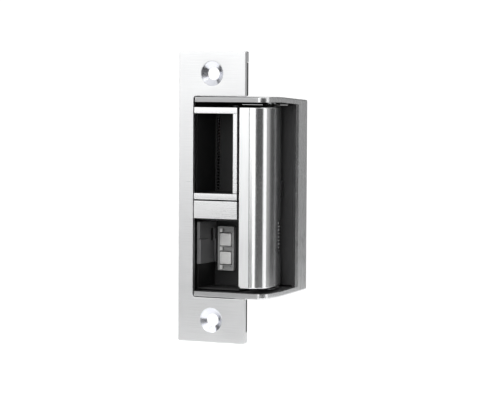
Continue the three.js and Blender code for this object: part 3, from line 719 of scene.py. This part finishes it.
def column_slope():
    """The cutter which slopes the rear column's front edge."""
    outline = [
        Vector((24.5, 30.2)),
        Vector((26.4, 30.2)),
        Vector((26.4, 32.1)),
        Vector((CASE_RIGHT, 32.1)),
        Vector((24.5, WINDOW_BACK)),
    ]
    return slab("slope", PLAN, outline, -39.4, 39.4, 0.01, steps=1)


def arm_corner(side, steps=8):
    """The cutter which rounds an arm's left corner to match the faceplate's opening."""
    arc = []
    for step in range(steps + 1):
        turn = math.pi / 2 * step / steps
        across = ARM_LEFT + OPENING_CORNER * (1 - math.sin(turn))
        up = CASE_HALF - OPENING_CORNER * (1 - math.cos(turn))
        arc.append(Vector((across, side * up)))
    left = ARM_LEFT - 1.0
    top = side * (CASE_HALF + 1.0)
    loop = [Vector((left, arc[-1].y)), *reversed(arc), Vector((arc[0].x, top)), Vector((left, top))]
    if side < 0:
        loop.reverse()
    return slab("corner", FRONT, loop, -1.0, PLATE_DEPTH, 0.0, steps=1)


def case_bores():
    """Cutters for the keeper's pin and for each screw which holds something to the case."""
    bores = []
    for side in (-1, 1):
        bores.append(bore("z", (*PIVOT, side * 41.0 - 3), PIN_HOLE_RADIUS, 6))
        for x in LUG_SCREW_X:
            bores.append(bore("y", (x, 1.0, side * LUG_SCREW_Z), 1.2, 6))
        for x in COVER_SCREW_X:
            bores.append(bore("y", (x, 35.8, side * COVER_SCREW_Z), 1.1, 6))
    for z in (RIM_SCREW_Z, CROSSBAR_SCREW_Z):
        bores.append(bore("x", (CASE_LEFT - 1, FRAME_SCREW_Y, z), 1.1, 4))
    for z in SOLENOID_SCREW_HEIGHTS:
        bores.append(bore("x", (CASE_LEFT - 1, SOLENOID_SCREW_Y, z), 1.1, 4))
    return bores


def case_body():
    """The steel case: two arms round the jamb's corner, a rear column, lugs and cover posts."""
    reach = LUG_HALF_WIDTH
    added = []
    for side in (-1, 1):
        low, high = sorted((side * LUG_BOTTOM, side * LUG_TOP))
        added.append(block("lug", -reach, reach, BEHIND_PLATE, BEHIND_PLATE + 2, low, high, 0.3))
    for side in (-1, 1):
        low, high = sorted((side * POST_BOTTOM, side * POST_TOP))
        for x in COVER_SCREW_X:
            left = x - POST_HALF_WIDTH
            right = x + POST_HALF_WIDTH
            added.append(block("post", left, right, 35.0, POST_BACK, low, high, 0.1))
    body = combined(case_shell(), case_rooms(), "DIFFERENCE")
    body = combined(body, added, "UNION")
    cutters = [column_slope(), arm_corner(-1), arm_corner(1), *case_bores()]
    return combined(body, cutters, "DIFFERENCE")


def back_cover():
    """The plated cover, with counterbored screw holes and a window for the wire connector."""
    window = rectangle(5.7, 18.3, -32.3, -23.7, 0.5)
    window.reverse()
    counterbore = [
        (1.1, COVER_FRONT),
        (1.1, COVER_FRONT + 0.42),
        (2.05, COVER_FRONT + 0.44),
        (2.05, CASE_DEPTH - 0.1),
        (2.12, CASE_DEPTH),
    ]
    holes = [window]
    for side in (-1, 1):
        for x in COVER_SCREW_X:
            holes.append((x, side * COVER_SCREW_Z, counterbore))
    outline = rectangle(CAVITY_LEFT + 0.2, CAVITY_RIGHT - 0.1, -COVER_HALF, COVER_HALF, 0.4)
    return slab("cover", FRONT, outline, COVER_FRONT, CASE_DEPTH, 0.12, holes)


def partition():
    """The dark plate which closes the room behind the keeper."""
    front = WINDOW_BACK + 0.2
    return block("partition", 11.0, 23.05, front, front + 1.0, -COVER_HALF, COVER_HALF, 0.12)


# ---- keeper ----

KEEPER_LEFT = 13.0
KEEPER_HALF = 38.3
FLAT_END = 17.9
SEAM_HALF = 0.16
NOSE_RADIUS = 6.0
NOSE_SWEEP = 82
NOSE_STEPS = 32
SIDE_LENGTH = 15.8
SIDE_SWEEP = 24
SIDE_STEPS = 24
SIDE_STRIDE = SIDE_LENGTH / SIDE_STEPS
HUB_RADIUS = 4.5
HUB_START = 45
HUB_STEPS = 22
LIP_SCREW_HEIGHTS = (10.0, 27.3)
LIP_SCREW_Y = 8.5
LIP_SCREW_BORE = 1.35


def keeper_front():
    """The flat face up to its end, with a fine seam just before the nose."""
    return [
        (KEEPER_LEFT, 0.0, 0.35),
        (FLAT_END - SEAM_HALF, 0.0, 0),
        (FLAT_END, SEAM_HALF, 0),
        (FLAT_END + SEAM_HALF, 0.002, 0),
    ]


def keeper_nose():
    """The full round front corner."""
    points = []
    for step in range(1, NOSE_STEPS + 1):
        turn = math.radians(NOSE_SWEEP * step / NOSE_STEPS)
        across = FLAT_END + NOSE_RADIUS * math.sin(turn)
        points.append((across, NOSE_RADIUS * (1 - math.cos(turn)), 0))
    return points


def keeper_side(x, y):
    """The long side, which leaves the nose at a point and curves away to the rear."""
    points = []
    for step in range(1, SIDE_STEPS + 1):
        heading = math.radians(NOSE_SWEEP + SIDE_SWEEP * math.sqrt(step / SIDE_STEPS))
        x += SIDE_STRIDE * math.cos(heading)
        y += SIDE_STRIDE * math.sin(heading)
        points.append((x, y, 0))
    return points


def keeper_hub():
    """The round rear of the keeper, about its pin."""
    points = []
    for step in range(HUB_STEPS + 1):
        turn = math.radians(HUB_START + (180 - HUB_START) * step / HUB_STEPS)
        points.append((PIVOT[0] + HUB_RADIUS * math.cos(turn), PIVOT[1] + HUB_RADIUS * math.sin(turn), 0))
    return points


def keeper_outline():
    """The keeper in plan, seen from above."""
    nose = keeper_nose()
    side = keeper_side(*nose[-1][:2])
    return rounded_loop([*keeper_front(), *nose, *side, *keeper_hub(), (KEEPER_LEFT, 15.0, 0.4)])


def keeper():
    """The jaw which the latch pushes aside, with bays for its tail block and its spring."""
    x, y = PIVOT
    pin_hole = (x, y, [(PIN_HOLE_RADIUS, -KEEPER_HALF), (PIN_HOLE_RADIUS, KEEPER_HALF)])
    body = slab("keeper", PLAN, keeper_outline(), -KEEPER_HALF, KEEPER_HALF, 0.55, [pin_hole])
    cutters = [
        block("tail_bay", x - 2.05, x + 2.05, y + 2.65, y + 9, -0.05, 6.45, 0.04),
        bore("z", (x, y, -25), 5.3, 15),
        block("strip_end", 12.0, FLAT_END, -1.0, 1.3, -39.0, -37.5, 0.04),
    ]
    for z in LIP_SCREW_HEIGHTS:
        cutters.append(bore("x", (KEEPER_LEFT - 1, LIP_SCREW_Y, z), LIP_SCREW_BORE, 5))
    return combined(body, cutters, "DIFFERENCE")


# ---- the bright frame round the upper pocket ----

FRAME_LEFT = -10.3
LIP_LEFT = 10.06
LIP_RIGHT = 12.1
BAR_DEPTH = 5.1
LOWER_BAR = (-1.06, 1.54)
UPPER_BAR = (35.55, 38.15)
CROSSBAR = (-9.13, -1.65)


def pocket_rim():
    """Two bright bars joined behind the plate by a strap."""
    root_right = ARM_LEFT + 1.0
    parts = []
    for low, high in (LOWER_BAR, UPPER_BAR):
        root_low = low + 0.04
        root_high = high - 0.04
        parts.append(block("bar", ARM_LEFT, LIP_RIGHT, 0.0, BAR_DEPTH, low, high, 0.22))
        parts.append(block("root", FRAME_LEFT, root_right, 3.3, BAR_DEPTH - 0.05, root_low, root_high, 0.1))
    strap = block("strap", FRAME_LEFT - 0.1, -9.65, BEHIND_PLATE, 7.5, LOWER_BAR[0], UPPER_BAR[1], 0.1)
    rim = combined(strap, parts, "UNION")
    screw_bore = bore("x", (FRAME_LEFT - 1.1, FRAME_SCREW_Y, RIM_SCREW_Z), 1.0, 4)
    return combined(rim, [screw_bore], "DIFFERENCE")


def crossbar():
    """The wide bar between the pockets, with a root which is screwed to the case's left wall."""
    low, high = CROSSBAR
    root_right = ARM_LEFT + 1.0
    root_back = BAR_DEPTH + 2
    bar = block("bar", ARM_LEFT, 12.2, 0.0, BAR_DEPTH, low, high, 0.22)
    root = block("root", FRAME_LEFT, root_right, BEHIND_PLATE, root_back, low + 0.01, high - 0.01, 0.1)
    screw_bore = bore("x", (FRAME_LEFT - 1.0, FRAME_SCREW_Y, CROSSBAR_SCREW_Z), 1.0, 4)
    return combined(combined(bar, [root], "UNION"), [screw_bore], "DIFFERENCE")


def keeper_lip():
    """The bright plate which the latch bears on, with sunk screw heads on its pocket side."""
    lip = block("lip", LIP_LEFT, LIP_RIGHT, 0.0, 14.0, 1.85, 35.45, 0.22)
    counterbore = [(2.1, 0), (2.1, 1.96), (LIP_SCREW_BORE, 1.96), (LIP_SCREW_BORE, 6)]
    bores = [turned("bore", "x", (9.0, LIP_SCREW_Y, z), counterbore) for z in LIP_SCREW_HEIGHTS]
    return combined(lip, bores, "DIFFERENCE")


def keeper_lip_pad():
    """The spacer between the lip plate and the keeper."""
    pad = block("pad", LIP_RIGHT + 0.05, KEEPER_LEFT - 0.05, 1.6, 13.5, 2.85, 34.45, 0.12)
    bores = [bore("x", (9.0, LIP_SCREW_Y, z), LIP_SCREW_BORE, 6) for z in LIP_SCREW_HEIGHTS]
    return combined(pad, bores, "DIFFERENCE")


# ---- the lower pocket ----

BUTTON_X = -2.35
BUTTON_HEIGHTS = (-19.1, -27.1)
BUTTON_HALF = 2.7
BUTTON_HOLE_HALF = BUTTON_HALF + 0.3
CARRIER_FRONT = 18.0
CARRIER_BACK = 20.15
CARRIER_PANELS = ((-15.9, -14.2), (-31.9, -30.4), (-23.75, -22.45))
CARRIER_RIBS = ((-16.0, -14.3), (-23.95, -22.25), (-32.1, -30.2))


def switch_carrier():
    """A milky frame round the two buttons, with raised ribs along its left and sunk panels beside them."""
    reach = BUTTON_HOLE_HALF
    slots = []
    for z in BUTTON_HEIGHTS:
        slot = rectangle(BUTTON_X - reach, BUTTON_X + reach, z - reach, z + reach, 0.4)
        slot.reverse()
        slots.append(slot)
    outline = rectangle(-6.4, 1.4, -32.6, -13.4, 0.5)
    carrier = slab("carrier", FRONT, outline, CARRIER_FRONT, CARRIER_BACK, 0.2, slots)
    panels = [
        block("panel", -3.7, 1.05, CARRIER_FRONT - 1, CARRIER_FRONT + 0.9, low, high, 0.15)
        for low, high in CARRIER_PANELS
    ]
    ribs = [
        block("rib", -5.1, -3.9, CARRIER_FRONT - 0.55, CARRIER_FRONT + 0.6, low, high, 0.18)
        for low, high in CARRIER_RIBS
    ]
    return combined(combined(carrier, panels, "DIFFERENCE"), ribs, "UNION")


def monitor_button(z):
    """A square button with a soft edge and a shallow dished face."""
    left = BUTTON_X - BUTTON_HALF
    right = BUTTON_X + BUTTON_HALF
    face = rectangle(left, right, z - BUTTON_HALF, z + BUTTON_HALF, 0.45)
    dished = rectangle(left + 0.7, right - 0.7, z - BUTTON_HALF + 0.7, z + BUTTON_HALF - 0.7, 0.4)
    body = slab("button", FRONT, face, 17.4, 23.6, 0.3)
    dish = slab("dish", FRONT, dished, 16.0, 17.52, 0.1)
    return combined(body, [dish], "DIFFERENCE")


SIDE_PLATE_LEFT = -8.75
SIDE_PLATE_FRONT = 3.5
SIDE_PLATE_BACK = 20.0
SIDE_PLATE_BOTTOM = -29.0
SIDE_PLATE_TOP = -11.0


def side_plate():
    """Stamped plates on the pocket's left wall: a front strip, a thicker step, a ledge and a slotted rib."""
    left = SIDE_PLATE_LEFT
    front = SIDE_PLATE_FRONT + 0.05
    low = SIDE_PLATE_BOTTOM + 0.1
    plate = block(
        "plate", left, left + 0.9, SIDE_PLATE_FRONT, SIDE_PLATE_BACK, SIDE_PLATE_BOTTOM, SIDE_PLATE_TOP, 0.12,
    )
    raised = [
        block("front_strip", left + 0.1, left + 1.3, front, 6.2, -18.2, SIDE_PLATE_TOP - 0.1, 0.12),
        block("step", left + 0.1, left + 1.8, front, 11.5, low, -18.5, 0.15),
        block("rib", left + 0.1, left + 1.35, 17.9, SIDE_PLATE_BACK - 0.05, low - 0.05, -18.9, 0.15),
        block("ledge", left + 0.1, left + 1.1, 11.6, 17.8, low, -26.9, 0.12),
    ]
    slot = block("slot", left - 1, left + 3, 14.4, 18.0, -19.7, -14.2, 0.5)
    return combined(combined(plate, raised, "UNION"), [slot], "DIFFERENCE")


# ---- the liners of both pockets ----

LINER_LEFT = -9.6
LINER_RIGHT = 10.9
LINER_FRONT = 5.2
LINER_BACK = 21.0
LINER_WALL = 0.8
PERFORATION_PITCH = 1.36
PERFORATION_HEIGHT = 0.65 * PERFORATION_PITCH
PERFORATION_COUNT = 23
PERFORATION_BOTTOM = 2.4


def tray(bottom, top):
    """A thin moulded tray, open to the front and towards the keeper."""
    wall = LINER_WALL
    outer = block("tray", LINER_LEFT, LINER_RIGHT, LINER_FRONT, LINER_BACK, bottom, top, 0.12)
    inner = block(
        "inside", LINER_LEFT + wall, LINER_RIGHT + 3, 2.0, LINER_BACK - wall, bottom + wall, top - wall, 0.1,
    )
    return combined(outer, [inner], "DIFFERENCE")


def pocket_liner():
    """The upper tray, with a row of small perforations down its back by the left corner."""
    lip = block("lip", LINER_LEFT, LINER_LEFT + LINER_WALL, BEHIND_PLATE, 6.0, 1.59, 35.5, 0.1)
    liner = combined(tray(0.8, 36.6), [lip], "UNION")
    perforations = []
    for row in range(PERFORATION_COUNT):
        low = PERFORATION_BOTTOM + PERFORATION_PITCH * row
        perforations.append(block("perforation", -8.0, -6.8, 19.0, 22.0, low, low + PERFORATION_HEIGHT, 0.1))
    return combined(liner, perforations, "DIFFERENCE")


def lower_liner():
    """The lower tray, with a slot for each button's switch."""
    reach = BUTTON_HOLE_HALF
    slots = []
    for z in BUTTON_HEIGHTS:
        slots.append(block("slot", BUTTON_X - reach, BUTTON_X + reach, 19.0, 22.0, z - reach, z + reach, 0.3))
    return combined(tray(-39.8, -9.4), slots, "DIFFERENCE")


# ---- screws, spring and pin ----

SPRING_TURNS = 8
SPRING_STEPS = 40
SPRING_BOTTOM = -23.55
SPRING_HEIGHT = 12.1
SPRING_RADIUS = 3.4
SPRING_WIRE = 0.44
PIN_RADIUS = 2.0
PIN_HALF = 41.4


def screw(axis, at, way, tip, seat, head, head_radius, shank_radius):
    """A pan head screw along one axis; way is 1 where the head's top faces the axis's positive end."""
    def recess(cosine, sine):
        return cross_recess(cosine, sine, 0.62 * head_radius, 0.19 * head_radius)

    def recess_bottom(cosine, sine):
        return 0.7 * recess(cosine, sine)

    edge = 0.16 * head_radius
    profile = [
        (shank_radius - 0.25, tip),
        (shank_radius, tip + way * 0.3),
        (shank_radius, seat),
        (head_radius, seat),
        (head_radius, head - way * edge),
        (head_radius - 0.3 * edge, head - way * 0.3 * edge),
        (head_radius - edge, head),
        (recess, head),
        (recess_bottom, head - way * 0.55),
    ]
    return turned("screw", axis, at, profile)


def screw_rows(heights, across):
    """Numbers the places of four screws, from the lower pair to the upper."""
    return list(enumerate([(x, z) for z in (-heights, heights) for x in across], 1))


def screws():
    """Every screw of the strike, by the CAD node that it stands for."""
    made = {}
    for number, (x, z) in screw_rows(LUG_SCREW_Z, LUG_SCREW_X):
        made[f"plate_screw_{number}"] = screw("y", (x, 0, z), 1, 1.0, 5.26, 6.42, 2.0, 0.9)
    for number, (x, z) in screw_rows(COVER_SCREW_Z, COVER_SCREW_X):
        made[f"back_cover_screw_{number}"] = screw("y", (x, 0, z), 1, 36.2, 40.16, 40.99, 1.9, 0.9)
    side_screws = {
        "rim_screw": (FRAME_SCREW_Y, RIM_SCREW_Z),
        "crossbar_screw": (FRAME_SCREW_Y, CROSSBAR_SCREW_Z),
        "solenoid_screw_1": (SOLENOID_SCREW_Y, SOLENOID_SCREW_HEIGHTS[0]),
        "solenoid_screw_2": (SOLENOID_SCREW_Y, SOLENOID_SCREW_HEIGHTS[1]),
    }
    for node, (y, z) in side_screws.items():
        made[node] = screw("x", (CASE_LEFT, y, z), -1, 2.74, -0.06, -1.08, 1.98, 0.9)
    for number, z in enumerate(LIP_SCREW_HEIGHTS, 1):
        at = (LIP_LEFT, LIP_SCREW_Y, z)
        made[f"keeper_lip_screw_{number}"] = screw("x", at, -1, 5.6, 0.84, 0.06, 2.0, 1.25)
    return made


def keeper_spring():
    """The coil round the keeper's pin which swings the keeper shut."""
    x, y = PIVOT
    last = SPRING_TURNS * SPRING_STEPS
    path = []
    for step in range(last + 1):
        turn = 2 * math.pi * step / SPRING_STEPS
        height = SPRING_BOTTOM + SPRING_HEIGHT * step / last
        path.append(Vector((x + SPRING_RADIUS * math.cos(turn), y + SPRING_RADIUS * math.sin(turn), height)))
    return wire("spring", path, SPRING_WIRE)


def keeper_pin():
    """The keeper's pin, with rounded ends."""
    lower_end = [
        (PIN_RADIUS - 0.25, -PIN_HALF),
        (PIN_RADIUS - 0.04, 0.2 - PIN_HALF),
        (PIN_RADIUS, 0.4 - PIN_HALF),
    ]
    upper_end = [(radius, -height) for radius, height in reversed(lower_end)]
    return turned("pin", "z", (*PIVOT, 0), lower_end + upper_end)


BUILT = {
    "faceplate": faceplate,
    "backing_plate": backing_plate,
    "case_body": case_body,
    "back_cover": back_cover,
    "partition": partition,
    "pocket_liner": pocket_liner,
    "lower_liner": lower_liner,
    "keeper": keeper,
    "pocket_rim": pocket_rim,
    "crossbar": crossbar,
    "keeper_lip": keeper_lip,
    "keeper_lip_pad": keeper_lip_pad,
    "switch_carrier": switch_carrier,
    "side_plate": side_plate,
    "keeper_spring": keeper_spring,
    "keeper_pin": keeper_pin,
}

# How far the corners of a copied CAD solid are eased.
EASED = {
    "switch_upper": 0.2,
    "switch_lower": 0.2,
    "lock_lever": 0.2,
    "solenoid_yoke": 0.25,
    "wire_connector": 0.15,
    "plunger": 0.15,
    "keeper_tail": 0.15,
}


def paint(piece, material, chosen):
    """Gives another material to the faces of a piece whose centre and normal, in millimetres, are chosen."""
    piece.data.materials.append(material)
    last = len(piece.data.materials) - 1
    for face in piece.data.polygons:
        if chosen(face.center / MM, face.normal):
            face.material_index = last


def in_countersink(centre, normal):
    """The turned cone and bore of a faceplate screw hole."""
    across = math.hypot(centre.x, abs(centre.z) - COUNTERSINK_Z)
    return across < COUNTERSINK_RADIUS and centre.y > 0.1 and abs(normal.y) < 0.98


def in_shaded_case(centre, normal):
    """Painted shade: the inside of the case, and the column's front beside its window, darkened where the
    keeper shades them.
    """
    between_walls = CAVITY_LEFT - 0.1 < centre.x < CAVITY_RIGHT + 0.1
    inside = between_walls and abs(centre.z) < CASE_INNER_HALF + 0.1 and centre.y < CASE_DEPTH - 1
    by_column = abs(centre.y - WINDOW_BACK) < 0.3 and centre.x > CAVITY_RIGHT - 0.2
    return inside or (by_column and normal.y < -0.5 and normal.x < 0.5)


def on_arm_front(centre, normal):
    """The narrow faces of both arms which look forward; they take painted shade."""
    faces_front = normal.y < -0.5 and abs(normal.x) < 0.2
    return faces_front and centre.y < 3.0 and abs(centre.z) > CASE_INNER_HALF


def on_cover_inside(centre, normal):
    """Painted shade: the cover's face towards the case, darkened like the shaded inside of the case."""
    return normal.y < -0.9


def on_rib(centre, normal):
    """The ribs which stand proud of the carrier."""
    return centre.y < CARRIER_FRONT - 0.1


def on_keeper_strip(centre, normal):
    """The keeper's flat face, up to its seam."""
    return centre.x < FLAT_END and normal.y < -0.9


finishes = {node: finish(node, build()) for node, build in BUILT.items()}
for node, mesh in screws().items():
    finishes[node] = finish(node, mesh)
for node, z in zip(("monitor_button_upper", "monitor_button_lower"), BUTTON_HEIGHTS):
    finishes[node] = finish(node, monitor_button(z))
for node, ease_width in EASED.items():
    finishes[node] = eased(node, ease_width)

paint(finishes["faceplate"], MATERIALS["countersink"], in_countersink)
# Painted shade: the case's inside and the column's front take the dark inner-wall colour.
paint(finishes["case_body"], MATERIALS["inner_wall"], in_shaded_case)
# Painted shade: the arms' front faces take the darker copy of the steel.
paint(finishes["case_body"], MATERIALS["arm_front"], on_arm_front)
# Painted shade: the cover's inner face takes the dark inner-wall colour.
paint(finishes["back_cover"], MATERIALS["inner_wall"], on_cover_inside)
paint(finishes["switch_carrier"], MATERIALS["nylon"], on_rib)
paint(finishes["keeper"], MATERIALS["strip"], on_keeper_strip)

for node, obj in nodes.items():
    if node not in finishes:
        for index in range(len(obj.material_slots)):
            obj.material_slots[index].material = look(node)


# ---- stage, light and camera ----

def matte(name, colour):
    """A dull, nearly plain finish for the table top."""
    material, tree, shader = new_material(name)
    shader.inputs["Roughness"].default_value = 0.9
    faint = noise(tree, object_position(tree, (3, 3, 3)), 1.0, 2.0)
    shades = ramp(tree, faint, [(0.0, shade(colour, 0.99)), (1.0, colour)])
    tree.links.new(shades, shader.inputs["Base Color"])
    return material


def floor():
    """A round pale table top, small enough for the jaw to mirror the dark room in front of it."""
    mesh = bpy.data.meshes.new("floor")
    level = cad_bounds[0][2] - FLOOR_DROP
    corners = []
    for side in range(FLOOR_SIDES):
        turn = 2 * math.pi * side / FLOOR_SIDES
        x = FLOOR_CENTRE[0] + FLOOR_RADIUS * math.cos(turn)
        y = FLOOR_CENTRE[1] + FLOOR_RADIUS * math.sin(turn)
        corners.append((x, y, level))
    mesh.from_pydata(corners, [], [tuple(range(FLOOR_SIDES))])
    piece = link("floor", mesh)
    piece.data.materials.append(matte("pale_floor", (0.98, 0.98, 0.98)))


def place_light(name, lamp, azimuth, elevation, distance):
    """Aims a lamp at the strike; azimuth 0 is straight in front of it and 90 is to its right."""
    holder = bpy.data.objects.new(name, lamp)
    bpy.context.scene.collection.objects.link(holder)
    turn = math.radians(azimuth)
    rise = math.radians(elevation)
    away = Vector((math.sin(turn) * math.cos(rise), -math.cos(turn) * math.cos(rise), math.sin(rise)))
    holder.location = Vector(LIGHT_TARGET) + away * distance
    holder.rotation_euler = away.to_track_quat("Z", "Y").to_euler()
    holder.visible_camera = False
    return holder


def soft_box(name, azimuth, elevation, width, height, radiance):
    """A rectangular lamp of even brightness, aimed at the strike."""
    lamp = bpy.data.lights.new(name, "AREA")
    lamp.shape = "RECTANGLE"
    lamp.size = width
    lamp.size_y = height
    lamp.energy = radiance * math.pi * width * height
    return place_light(name, lamp, azimuth, elevation, LIGHT_DISTANCE)


def overhead(name, strength):
    """A wide, even light from above, which keeps the table top white."""
    lamp = bpy.data.lights.new(name, "SUN")
    lamp.energy = strength
    lamp.angle = OVERHEAD_ANGLE
    return place_light(name, lamp, 0, 90, OVERHEAD_DISTANCE)


def room():
    """A dark room whose backdrop shows white."""
    world = bpy.data.worlds.new("studio")
    bpy.context.scene.world = world
    world.use_nodes = True
    tree = world.node_tree
    background = tree.nodes["Background"]
    paths = tree.nodes.new("ShaderNodeLightPath")
    level = tree.nodes.new("ShaderNodeMapRange")
    level.inputs["To Min"].default_value = ROOM_BRIGHTNESS
    level.inputs["To Max"].default_value = BACKDROP_BRIGHTNESS
    tree.links.new(paths.outputs["Is Camera Ray"], level.inputs["Value"])
    tree.links.new(level.outputs["Result"], background.inputs["Strength"])
    background.inputs["Color"].default_value = (1.0, 1.0, 1.0, 1.0)


def studio():
    """Large soft boxes all round, with dark gaps between them for the bright metal to mirror."""
    bpy.context.scene.view_settings.view_transform = "Standard"
    room()
    overhead("overhead", OVERHEAD_STRENGTH)
    wash = overhead("table_wash", TABLE_WASH_STRENGTH)
    wash.visible_glossy = False
    for name, place_and_size in SOFT_BOXES.items():
        soft_box(name, *place_and_size)
    fill = soft_box("front_fill", 8, 18, 0.5, 0.5, 7.0)
    fill.visible_glossy = False


def camera():
    """A long lens, turned a little to the strike's right side and raised a little."""
    back = Vector((
        math.sin(CAMERA_YAW) * math.cos(CAMERA_PITCH),
        -math.cos(CAMERA_YAW) * math.cos(CAMERA_PITCH),
        math.sin(CAMERA_PITCH),
    ))
    data = bpy.data.cameras.new("camera")
    data.lens = CAMERA_LENS
    data.sensor_width = CAMERA_SENSOR
    data.clip_start = 0.01
    holder = bpy.data.objects.new("camera", data)
    bpy.context.scene.collection.objects.link(holder)
    holder.location = Vector(CAMERA_TARGET) + back * CAMERA_DISTANCE
    holder.rotation_euler = back.to_track_quat("Z", "Y").to_euler()
    holder.rotation_euler.rotate_axis("Z", CAMERA_ROLL)
    bpy.context.scene.camera = holder


floor()
studio()
camera()
